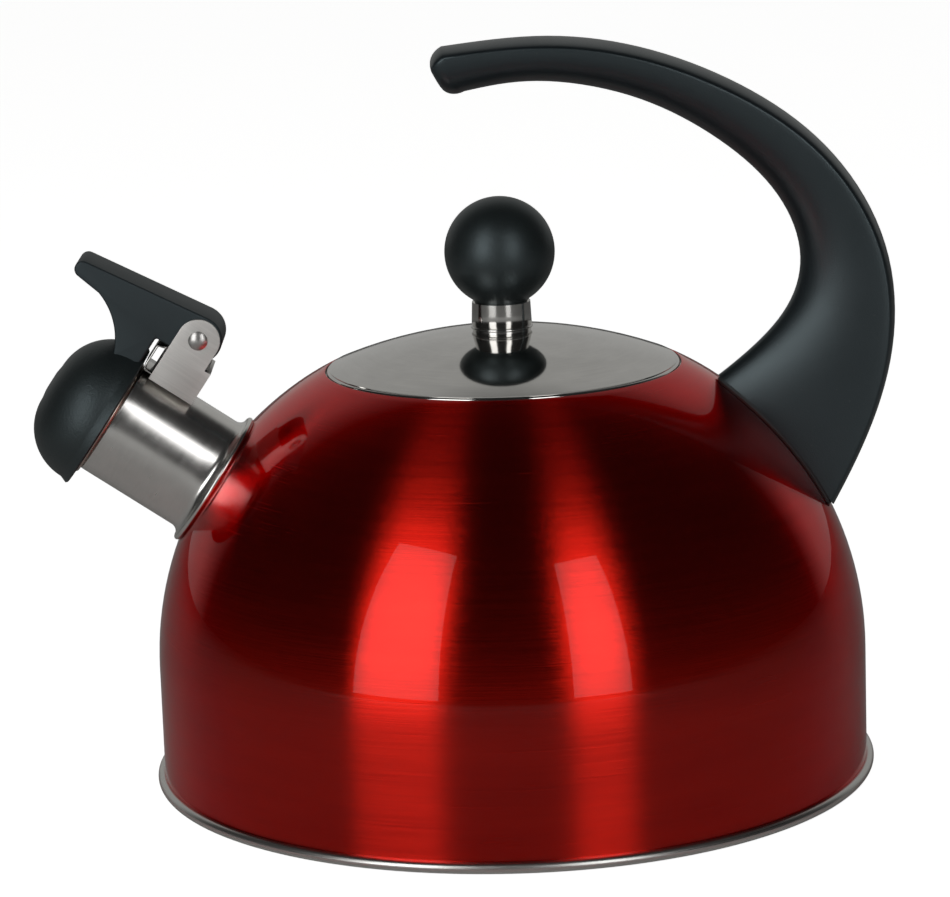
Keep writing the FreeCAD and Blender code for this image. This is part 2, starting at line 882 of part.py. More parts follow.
def quarter_ellipse(start, corner, end):
    """A quarter of an ellipse, from one axis end to the other, inside the corner between them."""
    curve = Part.BezierCurve()
    curve.setPoles([start, corner, end])
    curve.setWeight(2, math.sqrt(0.5))
    return curve.toShape()


def handle_block(inset):
    """The handle before its foot is cut to the dome, drawn inset all round."""
    wires = []
    for step in range(handle_tip_steps, 0, -1):
        turn = math.radians(handle_tip_turn * step / handle_tip_steps)
        shrink = handle_tip_round * (1 - math.cos(turn))
        wires.append(handle_section(0, inset + shrink, handle_tip_length * math.sin(turn)))
    last = len(handle_stations) - 1
    for step in range(handle_sections):
        wires.append(handle_section(last * step / (handle_sections - 1), inset, 0))
    return Part.makeLoft(wires, True, False)


def handle():
    start = -2 * pad_thickness
    grip = screw_holes(handle_insert_r, start, handle_insert_length + pad_thickness - start)
    return handle_block(0).cut([dome_block(pad_thickness)] + grip)


def handle_pad():
    root = handle_block(pad_inset).common(dome_block(pad_thickness)).cut(dome_block(0))
    drills = screw_holes(handle_thread_r + screw_clearance, -pad_thickness, 4 * pad_thickness)
    return root.cut(drills)


def handle_inserts():
    inserts = screw_holes(handle_insert_r, pad_thickness, handle_insert_length)
    threads = screw_holes(handle_thread_r, 0, handle_screw_grip + pad_thickness)
    base = dome_block(pad_thickness)
    return Part.makeCompound([i.cut([t, base]) for i, t in zip(inserts, threads)])


seal_start = -body_wall - handle_seal_thickness
washer_start = seal_start - handle_washer_thickness


def handle_seals():
    inside = dome_block(-body_wall)
    blanks = screw_holes(handle_seal_r, seal_start, 2 * handle_seal_thickness)
    holes = screw_holes(handle_thread_r + screw_clearance, washer_start, 4 * handle_washer_thickness)
    return Part.makeCompound([b.cut(h).common(inside) for b, h in zip(blanks, holes)])


def handle_washers():
    blanks = screw_holes(handle_washer_r, washer_start, handle_washer_thickness)
    holes = screw_holes(handle_thread_r + screw_clearance, washer_start, 4 * handle_washer_thickness)
    return Part.makeCompound([b.cut(h) for b, h in zip(blanks, holes)])


def handle_screws():
    head_start = washer_start - handle_head_height
    heads = screw_holes(handle_head_r, head_start, handle_head_height)
    reach = pad_thickness + handle_screw_grip - head_start
    shanks = screw_holes(handle_thread_r, head_start, reach)
    return Part.makeCompound([h.fuse(s).removeSplitter() for h, s in zip(heads, shanks)])


pieces = {
    "body_shell": body_shell,
    "base_pan": base_pan,
    "base_core": base_core,
    "base_cap": base_cap,
    "handle": handle,
    "handle_pad": handle_pad,
    "handle_inserts": handle_inserts,
    "handle_screws": handle_screws,
    "handle_washers": handle_washers,
    "handle_seals": handle_seals,
    "spout_tube": spout_tube,
    "spout_seal": spout_seal,
    "spout_ring": spout_ring,
    "whistle_bracket": whistle_bracket,
    "stop_clip": stop_clip,
    "pivot_rivet": pivot_rivet,
    "lever": lever,
    "lever_screw": lever_screw,
    "whistle_cap": whistle_cap,
    "whistle_cup": whistle_cup,
    "whistle_disc": whistle_disc,
    "lid_shell": lid_shell,
    "lid_collar": lid_collar,
    "knob_ball": knob_ball,
    "knob_ferrule": knob_ferrule,
    "knob_insert": knob_insert,
    "knob_screw": knob_screw,
    "knob_washer": knob_washer,
}

os.makedirs("parts", exist_ok=True)
for node, make in pieces.items():
    shape = make()
    if not shape.isValid() or not shape.Solids:
        raise ValueError(node + " is not a valid solid")
    shape.exportStep("parts/" + node + ".step")
    print(f"{node}: {len(shape.Solids)} solid(s), {shape.Volume / 1000:.2f} cm3")
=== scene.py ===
"""Stovetop whistling kettle: the finished surfaces, built round the designed frame."""
import math
import bpy
import numpy as np
from bpy.props import FloatProperty, FloatVectorProperty, IntProperty, PointerProperty
from mathutils import Matrix, Vector


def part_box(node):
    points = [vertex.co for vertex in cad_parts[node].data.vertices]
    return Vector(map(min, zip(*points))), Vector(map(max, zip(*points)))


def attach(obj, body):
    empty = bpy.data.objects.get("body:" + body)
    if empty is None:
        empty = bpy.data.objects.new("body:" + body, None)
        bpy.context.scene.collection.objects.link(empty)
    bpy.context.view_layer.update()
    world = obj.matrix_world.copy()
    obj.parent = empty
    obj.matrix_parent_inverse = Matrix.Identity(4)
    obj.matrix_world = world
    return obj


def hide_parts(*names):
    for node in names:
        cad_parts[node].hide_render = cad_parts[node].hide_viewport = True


bl_info = {
    "name": "Stovetop whistling kettle",
    "version": (1, 0, 0),
    "blender": (4, 5, 0),
    "location": "3D View > Sidebar > Kettle",
    "description": "Builds a lacquered whistling kettle, its finishes and a plain studio",
    "category": "Object",
}

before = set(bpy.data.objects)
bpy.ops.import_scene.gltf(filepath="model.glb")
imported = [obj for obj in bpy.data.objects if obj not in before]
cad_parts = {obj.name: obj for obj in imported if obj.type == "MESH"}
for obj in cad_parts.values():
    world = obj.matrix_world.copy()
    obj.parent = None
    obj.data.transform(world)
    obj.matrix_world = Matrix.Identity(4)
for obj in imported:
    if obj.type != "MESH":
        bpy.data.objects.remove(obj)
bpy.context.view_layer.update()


def far(node):
    """The highest corner of a designed part."""
    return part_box(node)[1]


def near(node):
    """The lowest corner of a designed part."""
    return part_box(node)[0]


# Sizes and colours

def length(name, text, default):
    return FloatProperty(name=name, description=text, default=default, unit="LENGTH", precision=5)


def angle(name, text, degrees):
    return FloatProperty(name=name, description=text, default=math.radians(degrees), subtype="ANGLE")


def colour(name, text, default):
    return FloatVectorProperty(
        name=name, description=text, default=default, subtype="COLOR", size=4, min=0.0, max=1.0)


class KettleSizes(bpy.types.PropertyGroup):
    """Sizes of the kettle's visible pieces, in metres."""
    body_r: length("Body radius", "Outer radius of the straight wall", far("body_shell").x)
    wall: length("Sheet", "Thickness of the body's sheet", 0.0006)
    wall_top: length("Wall height", "Where the straight wall turns into the shoulder", 0.036)
    shoulder_r: length("Shoulder radius", "Radius of the shoulder's arc", 0.0973)
    shoulder_turn: angle("Shoulder turn", "How far the shoulder's arc turns", 55.6)
    crown_r: length("Crown radius", "Radius of the flatter arc under the lid", 0.0801)
    opening_r: length("Mouth radius", "Inner radius of the neck under the lid", 0.046)
    neck_depth: length("Neck depth", "How far the neck hangs under the lid's shelf", 0.0078)
    seat_drop: length("Seat depth", "How far the shelf lies under the dome's edge", 0.0013)
    bead_r: length("Rim bead", "Radius of the rolled rim's bead", 0.0016)
    bead_at: length("Rim radius", "Radius of the circle the rim's bead runs on", 0.106)
    base_r: length("Base radius", "Outer radius of the capped base", far("base_cap").x)
    lid_r: length("Lid radius", "Outer radius of the lid", far("lid_shell").x)
    lid_rise: length("Lid rise", "Height of the lid's dome over its edge", 0.0103)
    ball_r: length("Ball radius", "Radius of the knob's ball", far("knob_ball").x)
    spout_r: length("Spout radius", "Outer radius of the spout's tube", 0.018)
    spout_long: length("Spout length", "From the flange's seat to the tube's lip", 0.0359)
    spout_tilt: angle("Spout tilt", "The spout's slope above the horizontal", 34.7)
    spout_seat: length("Spout seat", "How deep the flange sits under the shoulder's curve", 0.0021)
    flange_r: length("Flange radius", "Outer radius of the spout's flange", 0.0212)
    cap_drop: length("Hood drop", "How far the whistle hood's axis lies under the spout's", 0.0009)
    lever_width: length("Lever width", "Width of the thumb lever", far("lever").y - near("lever").y)
    grip_bead: length("Grip edge", "Depth of the crease along the grip's back", 0.0030)


class KettleColours(bpy.types.PropertyGroup):
    """Colours of the kettle's finishes."""
    lacquer: colour("Lacquer", "Translucent red over brushed steel", (0.72, 0.017, 0.008, 1.0))
    lacquer_deep: colour("Deep lacquer", "The same where the brushing is darker", (0.52, 0.010, 0.006, 1.0))
    steel: colour("Steel", "Bare stainless steel", (0.60, 0.59, 0.57, 1.0))
    warm_steel: colour("Warm steel", "Heat-tinted steel of the whistle's cup", (0.55, 0.47, 0.41, 1.0))
    black: colour("Black moulding", "Neutral black phenolic", (0.0055, 0.0075, 0.0075, 1.0))
    blue_black: colour("Blue-black moulding", "The lever's and grip's black", (0.0055, 0.0080, 0.0100, 1.0))
    rubber: colour("Gasket", "Black silicone", (0.02, 0.02, 0.02, 1.0))
    brass: colour("Brass", "Turned brass", (0.62, 0.45, 0.18, 1.0))
    aluminium: colour("Aluminium", "Pressed aluminium", (0.72, 0.72, 0.73, 1.0))
    paper: colour("Floor", "The plain pale floor", (0.80, 0.80, 0.79, 1.0))


def sizes():
    return bpy.context.scene.kettle_sizes


def colours():
    return bpy.context.scene.kettle_colours


# Drawing outlines and turning, thickening or cutting them

ARC_STEP = math.radians(2.0)
FINE_ARC_STEP = math.radians(12.0)
LINE_STEP = 0.004
ROUND_STEPS = 192
WELD = 2e-6
SHARP = math.radians(35.0)


def deselect():
    if bpy.context.object and bpy.context.object.mode != "OBJECT":
        bpy.ops.object.mode_set(mode="OBJECT")
    bpy.ops.object.select_all(action="DESELECT")


def pick(piece):
    """Makes one object the only selected one and the active one."""
    deselect()
    piece.select_set(True)
    bpy.context.view_layer.objects.active = piece


def start_outline(name, start):
    """A new object, in edit mode, that holds one selected point of the XZ plane."""
    deselect()
    bpy.ops.mesh.primitive_plane_add(size=LINE_STEP)
    piece = bpy.context.object
    piece.name = name
    piece.data.name = name
    bpy.ops.object.mode_set(mode="EDIT")
    bpy.ops.mesh.merge(type="CENTER")
    bpy.ops.transform.translate(value=(start[0], 0.0, start[1]))
    return piece


def draw_line(here, end):
    """Draws out the selected point to a new place, in short steps."""
    run = Vector((end[0] - here[0], 0.0, end[1] - here[1]))
    steps = max(1, math.ceil(run.length / LINE_STEP))
    for _ in range(steps):
        bpy.ops.mesh.extrude_region_move(TRANSFORM_OT_translate={"value": run / steps})


def draw_arc(here, centre, turn):
    """Spins the selected point about a centre. A positive turn goes from X towards Z."""
    reach = math.hypot(here[0] - centre[0], here[1] - centre[1])
    step = ARC_STEP if reach > LINE_STEP else FINE_ARC_STEP
    steps = max(2, math.ceil(abs(turn) / step))
    bpy.ops.mesh.spin(
        steps=steps, angle=turn, center=(centre[0], 0.0, centre[1]), axis=(0.0, 1.0, 0.0))


def swung(here, centre, turn):
    """Where a point of the XZ plane comes to when it is swung about a centre."""
    x, z = here[0] - centre[0], here[1] - centre[1]
    return (centre[0] + x * math.cos(turn) - z * math.sin(turn),
            centre[1] + x * math.sin(turn) + z * math.cos(turn))


def draw(name, start, strokes):
    """Draws an outline. A stroke is an end point, or a centre and how far to swing about it."""
    piece = start_outline(name, start)
    here = start
    for stroke in strokes:
        if len(stroke) == 2:
            draw_line(here, stroke)
            here = stroke
        else:
            centre, turn = stroke[:2], stroke[2]
            draw_arc(here, centre, turn)
            here = swung(here, centre, turn)
    return piece


def choose(piece, wanted):
    """Selects the points of the piece being edited that pass a test."""
    bpy.ops.mesh.select_mode(type="VERT")
    bpy.ops.mesh.select_all(action="DESELECT")
    bpy.ops.object.mode_set(mode="OBJECT")
    for point in piece.data.vertices:
        point.select = wanted(point)
    bpy.ops.object.mode_set(mode="EDIT")


def tidy_mesh():
    """Welds what meets and turns every face outwards."""
    bpy.ops.mesh.select_all(action="SELECT")
    bpy.ops.mesh.remove_doubles(threshold=WELD)
    bpy.ops.mesh.normals_make_consistent(inside=False)
    bpy.ops.object.mode_set(mode="OBJECT")


def turn_solid(name, start, strokes, steps=ROUND_STEPS):
    """The solid that an outline sweeps when it is turned once round the Z axis."""
    piece = draw(name, start, strokes)
    bpy.ops.mesh.select_all(action="SELECT")
    bpy.ops.mesh.spin(steps=steps, angle=math.tau, center=(0.0, 0.0, 0.0), axis=(0.0, 0.0, 1.0))
    tidy_mesh()
    return piece


def widen(half):
    """Draws out the selected outline to both sides of the XZ plane."""
    bpy.ops.transform.translate(value=(0.0, -half, 0.0))
    bpy.ops.mesh.extrude_region_move(TRANSFORM_OT_translate={"value": (0.0, 2 * half, 0.0)})


def thick_solid(name, start, strokes, half):
    """An outline filled and thickened to both sides of the XZ plane."""
    piece = draw(name, start, strokes)
    bpy.ops.mesh.select_all(action="SELECT")
    bpy.ops.mesh.remove_doubles(threshold=WELD)
    bpy.ops.mesh.edge_face_add()
    widen(half)
    tidy_mesh()
    return piece


def place(piece, matrix):
    """Moves a piece drawn in its own frame to its place, and leaves its object at the origin."""
    pick(piece)
    piece.matrix_world = matrix
    bpy.ops.object.transform_apply(location=True, rotation=True, scale=True)


def apply_modifier(piece, kind, **settings):
    pick(piece)
    modifier = piece.modifiers.new(kind.title(), kind)
    for name, value in settings.items():
        setattr(modifier, name, value)
    bpy.ops.object.modifier_apply(modifier=modifier.name)


def round_edges(piece, width, segments=3, limit=SHARP):
    apply_modifier(piece, "BEVEL", width=width, segments=segments, limit_method="ANGLE",
                   angle_limit=limit, use_clamp_overlap=True, harden_normals=False)


def cut_away(piece, cutter):
    """Cuts a piece with another one, which is then thrown away."""
    apply_modifier(piece, "BOOLEAN", operation="DIFFERENCE", object=cutter, solver="EXACT")
    bpy.data.objects.remove(cutter)


def smooth(piece, limit):
    pick(piece)
    bpy.ops.object.shade_smooth_by_angle(angle=limit)
    piece.select_set(False)


def finish_piece(piece, body, slot, node, look=None, limit=SHARP):
    """Smooths a piece, gives it its body and a finish chosen by its slot, and hides its designed part."""
    smooth(piece, limit)
    piece.data.materials.clear()
    piece.data.materials.append(finish(look or slot))
    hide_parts(node)
    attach(piece, body)


# Shapes that several pieces share

def dome_centres():
    """The shoulder's centre, the point where the crown begins, and the crown's centre."""
    s = sizes()
    shoulder = (s.body_r - s.shoulder_r, s.wall_top)
    rise = (math.cos(s.shoulder_turn), math.sin(s.shoulder_turn))
    joint = (shoulder[0] + s.shoulder_r * rise[0], shoulder[1] + s.shoulder_r * rise[1])
    crown = (joint[0] - s.crown_r * rise[0], joint[1] - s.crown_r * rise[1])
    return shoulder, joint, crown


def crown_turn(radius, offset=0.0):
    """How far the crown's arc turns from the shoulder to a radius."""
    s = sizes()
    crown = dome_centres()[2]
    return math.acos((radius - crown[0]) / (s.crown_r + offset)) - s.shoulder_turn


def crown_height(radius, offset=0.0):
    s = sizes()
    crown = dome_centres()[2]
    return crown[1] + math.sqrt((s.crown_r + offset) ** 2 - (radius - crown[0]) ** 2)


EDGE_GAP = 0.0004
SEAT_GAP = 0.0001
LID_HEM = 0.0015


def dome_end():
    """Radius and height of the dome's edge round the lid."""
    radius = sizes().lid_r + EDGE_GAP
    return radius, crown_height(radius)


def shelf_height():
    return dome_end()[1] - sizes().seat_drop


def lid_shape():
    """The lid's top height, its sphere's radius and the height of that sphere's centre."""
    s = sizes()
    top = shelf_height() + SEAT_GAP + LID_HEM + s.lid_rise
    sphere = (s.lid_r ** 2 + s.lid_rise ** 2) / (2 * s.lid_rise)
    return top, sphere, top - sphere


def lid_height(radius, depth=0.0):
    _, sphere, middle = lid_shape()
    return middle + math.sqrt((sphere - depth) ** 2 - radius ** 2)


def spout_matrix(drop=0.0):
    """The spout's frame: Z runs out along its axis and X up across it."""
    s = sizes()
    shoulder = dome_centres()[0]
    out = s.shoulder_r - s.spout_seat
    axis = Vector((-math.cos(s.spout_tilt), 0.0, math.sin(s.spout_tilt)))
    up = Vector((math.sin(s.spout_tilt), 0.0, math.cos(s.spout_tilt)))
    side = axis.cross(up)
    origin = Vector((-shoulder[0], 0.0, shoulder[1])) + axis * out - up * drop
    turned = Matrix((up, side, axis)).transposed().to_4x4()
    return Matrix.Translation(origin) @ turned


# Node groups and materials

def feed(tree, node, inputs):
    """Sets a node's inputs. Each is a value, or the socket it is fed from."""
    for name, value in inputs.items():
        if isinstance(value, bpy.types.NodeSocket):
            tree.links.new(value, node.inputs[name])
        else:
            node.inputs[name].default_value = value


def add(tree, kind, inputs=None, **settings):
    """Adds a node with its settings and inputs."""
    made = tree.nodes.new(kind)
    for name, value in settings.items():
        setattr(made, name, value)
    feed(tree, made, inputs or {})
    return made


def maths(tree, operation, first, second=0.0):
    return add(tree, "ShaderNodeMath", {0: first, 1: second}, operation=operation).outputs[0]


def weigh(tree, *parts):
    """The sum of some values, each times its own weight."""
    total = None
    for value, weight in parts:
        part = maths(tree, "MULTIPLY", value, weight)
        total = part if total is None else maths(tree, "ADD", total, part)
    return total


def ramp(tree, value, low, high, out_low=0.0, out_high=1.0):
    """Maps a value's range smoothly to another one."""
    made = add(tree, "ShaderNodeMapRange", {
        "Value": value, "From Min": low, "From Max": high, "To Min": out_low, "To Max": out_high})
    made.clamp = True
    return made.outputs["Result"]


def blend_colours(tree, amount, first, second):
    return add(tree, "ShaderNodeMix", {0: amount, 6: first, 7: second}, data_type="RGBA").outputs[2]


def shaded(tint, factor, lift=0.0):
    """A colour made brighter or darker by a factor, and lifted a little."""
    return tuple(min(1.0, factor * part + lift) for part in tint[:3]) + (1.0,)


def noise(tree, vector, scale, detail=3.0, roughness=0.5):
    made = add(tree, "ShaderNodeTexNoise", {
        "Vector": vector, "Scale": scale, "Detail": detail, "Roughness": roughness})
    return made.outputs["Fac"]


def new_group(name, inputs, outputs):
    """A shader node group with named sockets, and its input and output nodes."""
    group = bpy.data.node_groups.new(name, "ShaderNodeTree")
    for title, kind, default in inputs:
        socket = group.interface.new_socket(name=title, in_out="INPUT", socket_type=kind)
        if default is not None:
            socket.default_value = default
    for title in outputs:
        group.interface.new_socket(name=title, in_out="OUTPUT", socket_type="NodeSocketFloat")
    return group, group.nodes.new("NodeGroupInput"), group.nodes.new("NodeGroupOutput")


def build_turned_lines():
    """Fine lines that run round the Z axis, as a brush leaves them on a turning sheet."""
    group, inside, out = new_group("Turned lines", (
        ("Vector", "NodeSocketVector", None),
        ("Lines", "NodeSocketFloat", 2600.0),
        ("Run", "NodeSocketFloat", 3.0),
    ), ("Lines", "Bands"))
    place_at = inside.outputs["Vector"]
    split = add(group, "ShaderNodeSeparateXYZ", {0: place_at})
    flat = add(group, "ShaderNodeCombineXYZ", {"X": split.outputs[0], "Y": split.outputs[1]})
    radius = add(group, "ShaderNodeVectorMath", {0: flat.outputs[0]}, operation="LENGTH")
    around = add(group, "ShaderNodeVectorMath", {0: flat.outputs[0]}, operation="NORMALIZE")
    stretched = add(group, "ShaderNodeVectorMath", {0: around.outputs[0]}, operation="SCALE")
    group.links.new(inside.outputs["Run"], stretched.inputs["Scale"])
    along = maths(group, "SUBTRACT", split.outputs[2], radius.outputs["Value"])
    fine = maths(group, "MULTIPLY", along, inside.outputs["Lines"])
    split_round = add(group, "ShaderNodeSeparateXYZ", {0: stretched.outputs[0]})
    for title, factor, detail, roughness, low, high in (
            ("Lines", 1.0, 4.0, 0.6, 0.25, 0.75), ("Bands", 0.06, 3.0, 0.55, 0.3, 0.7)):
        where = add(group, "ShaderNodeCombineXYZ", {
            "X": split_round.outputs[0], "Y": split_round.outputs[1],
            "Z": maths(group, "MULTIPLY", fine, factor)})
        tone = noise(group, where.outputs[0], 1.0, detail, roughness)
        group.links.new(ramp(group, tone, low, high), out.inputs[title])
    return group


def build_straight_lines():
    """Fine lines along one axis of the given vector, as a belt leaves them on flat sheet."""
    group, inside, out = new_group("Straight lines", (
        ("Vector", "NodeSocketVector", None),
        ("Lines", "NodeSocketFloat", 3000.0),
        ("Run", "NodeSocketFloat", 60.0),
    ), ("Lines", "Bands"))
    split = add(group, "ShaderNodeSeparateXYZ", {0: inside.outputs["Vector"]})
    across = maths(group, "MULTIPLY", split.outputs[0], inside.outputs["Lines"])
    side = maths(group, "MULTIPLY", split.outputs[1], inside.outputs["Lines"])
    along = maths(group, "MULTIPLY", split.outputs[2], inside.outputs["Run"])
    where = add(group, "ShaderNodeCombineXYZ", {"X": across, "Y": side, "Z": along})
    for title, tone in (("Lines", noise(group, where.outputs[0], 1.0, 3.0, 0.6)),
                        ("Bands", noise(group, where.outputs[0], 0.05, 2.0))):
        group.links.new(ramp(group, tone, 0.3, 0.7), out.inputs[title])
    return group


def build_moulded_grain():
    """The fine pebbling of a spark-eroded mould, and the slow mottling of the moulding powder."""
    group, inside, out = new_group("Moulded grain", (
        ("Vector", "NodeSocketVector", None),
        ("Grains", "NodeSocketFloat", 2200.0),
    ), ("Height", "Speckle", "Mottle"))
    place_at = inside.outputs["Vector"]
    pebbles = add(group, "ShaderNodeTexVoronoi", {
        "Vector": place_at, "Scale": inside.outputs["Grains"]}, feature="SMOOTH_F1")
    fine = noise(group, place_at, maths(group, "MULTIPLY", inside.outputs["Grains"], 1.7), 2.0)
    height = weigh(group, (pebbles.outputs["Distance"], 0.6), (fine, 0.6))
    group.links.new(height, out.inputs["Height"])
    group.links.new(ramp(group, fine, 0.35, 0.7), out.inputs["Speckle"])
    group.links.new(ramp(group, noise(group, place_at, 38.0, 4.0, 0.55), 0.3, 0.7), out.inputs["Mottle"])
    return group


def build_handling():
    """Faint smears from hands and cloths, and specks of dust."""
    group, inside, out = new_group("Handling", (
        ("Vector", "NodeSocketVector", None),
        ("Smears", "NodeSocketFloat", 22.0),
    ), ("Smears", "Dust"))
    place_at = inside.outputs["Vector"]
    warp = add(group, "ShaderNodeTexNoise", {"Vector": place_at, "Scale": 14.0, "Detail": 2.0})
    pushed = add(group, "ShaderNodeVectorMath", {0: warp.outputs["Color"], 1: (0.06, 0.06, 0.06)},
                 operation="MULTIPLY")
    moved = add(group, "ShaderNodeVectorMath", {0: place_at, 1: pushed.outputs[0]}, operation="ADD")
    smears = noise(group, moved.outputs[0], inside.outputs["Smears"], 5.0, 0.6)
    group.links.new(ramp(group, smears, 0.42, 0.72), out.inputs["Smears"])
    specks = add(group, "ShaderNodeTexVoronoi", {"Vector": place_at, "Scale": 260.0})
    group.links.new(ramp(group, specks.outputs["Distance"], 0.10, 0.03), out.inputs["Dust"])
    return group


def groups():
    """The shared effects, each built once."""
    builders = {
        "Turned lines": build_turned_lines,
        "Straight lines": build_straight_lines,
        "Moulded grain": build_moulded_grain,
        "Handling": build_handling,
    }
    for name, build in builders.items():
        if name not in bpy.data.node_groups:
            build()
    return bpy.data.node_groups


def use_group(tree, name, inputs):
    return add(tree, "ShaderNodeGroup", inputs, node_tree=groups()[name]).outputs


def new_material(name, shader):
    """A material with a bare Principled shader, and that shader's inputs by name."""
    material = bpy.data.materials.new(name)
    material.use_nodes = True
    tree = material.node_tree
    surface = tree.nodes["Principled BSDF"]
    feed(tree, surface, shader)
    return material, tree, surface


def object_place(tree, matrix=None):
    """Object coordinates, or the same seen from a piece's own frame."""
    place_at = add(tree, "ShaderNodeTexCoord").outputs["Object"]
    if matrix is None:
        return place_at
    return add(tree, "ShaderNodeMapping", {
        "Vector": place_at, "Location": matrix.to_translation(), "Rotation": matrix.to_euler(),
    }, vector_type="TEXTURE").outputs[0]


def bump(tree, surface, height, depth, strength=1.0):
    """Feeds the shader's normal from a height. The depth is in metres."""
    made = add(tree, "ShaderNodeBump", {"Height": height, "Distance": depth, "Strength": strength})
    tree.links.new(made.outputs[0], surface.inputs["Normal"])


def lacquer_finish():
    """Translucent red lacquer over sheet steel that was brushed round the kettle's axis."""
    material, tree, surface = new_material("Red lacquer over brushed steel", {
        "Metallic": 1.0, "Coat Weight": 1.0, "Coat Roughness": 0.015, "Coat IOR": 1.25,
        "Specular Tint": (0.9, 0.25, 0.22, 1.0), "Anisotropic": 1.0, "Anisotropic Rotation": 0.25})
    tangent = add(tree, "ShaderNodeTangent", direction_type="RADIAL", axis="Z")
    place_at = object_place(tree)
    brushed = use_group(tree, "Turned lines", {"Vector": place_at, "Lines": 2600.0, "Run": 2.5})
    marks = use_group(tree, "Handling", {"Vector": place_at, "Smears": 16.0})
    tone = weigh(tree, (brushed["Lines"], 0.6), (brushed["Bands"], 0.4))
    tint = blend_colours(tree, tone, colours().lacquer_deep, colours().lacquer)
    dusty = blend_colours(tree, maths(tree, "MULTIPLY", marks["Dust"], 0.03), tint, (0.5, 0.4, 0.38, 1.0))
    rough = maths(tree, "ADD", ramp(tree, brushed["Lines"], 0.0, 1.0, 0.21, 0.27),
                  maths(tree, "MULTIPLY", marks["Smears"], 0.02))
    feed(tree, surface, {
        "Base Color": dusty, "Roughness": rough, "Tangent": tangent.outputs[0]})
    bump(tree, surface, brushed["Lines"], 0.00002, 0.8)
    return material


def steel_finish(name, tint, rough, shine=0.0, lines=2600.0, depth=0.000003, matrix=None, straight=False):
    """Stainless steel with turned or straight grinding lines, from satin to mirror."""
    material, tree, surface = new_material(name, {"Metallic": 1.0})
    place_at = object_place(tree, matrix)
    kind = "Straight lines" if straight else "Turned lines"
    ground = use_group(tree, kind, {"Vector": place_at, "Lines": lines})
    marks = use_group(tree, "Handling", {"Vector": place_at})
    tone = weigh(tree, (ground["Lines"], 0.5), (ground["Bands"], 0.5))
    uneven = maths(tree, "ADD", ramp(tree, ground["Lines"], 0.0, 1.0, rough, rough + shine),
                   maths(tree, "MULTIPLY", marks["Smears"], 0.03))
    feed(tree, surface, {
        "Base Color": blend_colours(tree, tone, shaded(tint, 0.82), tint), "Roughness": uneven})
    bump(tree, surface, ground["Lines"], depth, 0.5)
    return material


def moulded_finish(name, tint, rough, grains, depth):
    """Black phenolic moulding with a fine mould grain."""
    # The bluish Specular Tint is painted light: it gives the highlights on the black mouldings the cool
    # colour of the light they reflect
    material, tree, surface = new_material(name, {
        "Specular IOR Level": 0.9, "Specular Tint": (0.78, 0.95, 1.0, 1.0)})
    place_at = object_place(tree)
    grain = use_group(tree, "Moulded grain", {"Vector": place_at, "Grains": grains})
    marks = use_group(tree, "Handling", {"Vector": place_at, "Smears": 30.0})
    amount = weigh(tree, (grain["Speckle"], 0.35), (grain["Mottle"], 0.25))
    dusty = maths(tree, "MULTIPLY", marks["Dust"], 0.04)
    shade = blend_colours(tree, amount, tint, shaded(tint, 1.9, 0.004))
    wear = weigh(tree, (grain["Speckle"], 0.06), (marks["Smears"], 0.05))
    feed(tree, surface, {
        "Base Color": blend_colours(tree, dusty, shade, (0.35, 0.34, 0.32, 1.0)),
        "Roughness": maths(tree, "ADD", wear, rough)})
    bump(tree, surface, grain["Height"], depth, 1.0)
    return material


_finishes = {}


def finish(name):
    """A finish by its slot name, made when it is first asked for."""
    if name not in _finishes:
        c = colours()
        steel, black, cold_black = tuple(c.steel), tuple(c.black), tuple(c.blue_black)
        # bright and pale are lighter copies of the one steel colour, 1.15 and 1.4 times as bright: painted
        # light, so that the lid, base, spout and yoke look more brightly lit than the other steel pieces
        bright, pale = shaded(steel, 1.15), shaded(steel, 1.4)
        along = spout_matrix()
        makers = {
            "body_lacquer": (lacquer_finish,),
            "inner_steel": (steel_finish, "Drawn steel inside", steel, 0.24, 0.1, 1500.0),
            # base_steel and lid_steel take the bright copy, spout_steel and bracket_steel the pale copy:
            # painted light on the same stainless steel
            "base_steel": (steel_finish, "Satin turned steel", bright, 0.22, 0.14, 3200.0),
            "core_aluminium": (steel_finish, "Pressed aluminium", tuple(c.aluminium), 0.4, 0.1),
            "lid_steel": (steel_finish, "Mirror steel", bright, 0.055, 0.03, 1800.0, 0.0000006),
            "spout_steel": (
                steel_finish, "Polished spout steel", pale, 0.19, 0.08, 1500.0, 0.000002, along),
            "neck_steel": (steel_finish, "Polished neck steel", steel, 0.10, 0.05, 1500.0, 0.000001),
            "cup_steel": (
                steel_finish, "Pressed cup steel", tuple(c.warm_steel), 0.22, 0.1, 2400.0, 0.000003, along),
            "bracket_steel": (
                steel_finish, "Folded sheet steel", pale, 0.42, 0.08, 2600.0, 0.000003, along, True),
            "spring_steel": (
                steel_finish, "Bright spring steel", steel, 0.10, 0.06, 2000.0, 0.000001, along, True),
            "screw_steel": (steel_finish, "Machined screw steel", steel, 0.26, 0.1, 3600.0),
            "insert_brass": (steel_finish, "Turned brass", tuple(c.brass), 0.28, 0.1),
            "seal_rubber": (moulded_finish, "Black silicone", tuple(c.rubber), 0.62, 1400.0, 0.00001),
            "grip_plastic": (moulded_finish, "Grip moulding", cold_black, 0.34, 2300.0, 0.00003),
            "knob_plastic": (moulded_finish, "Knob moulding", black, 0.40, 2000.0, 0.00003),
            "lever_plastic": (moulded_finish, "Lever moulding", cold_black, 0.52, 2600.0, 0.000008),
            "cap_plastic": (moulded_finish, "Hood moulding", black, 0.44, 1600.0, 0.00008),
        }
        make, *values = makers[name]
        _finishes[name] = make(*values)
    return _finishes[name]


# The pieces

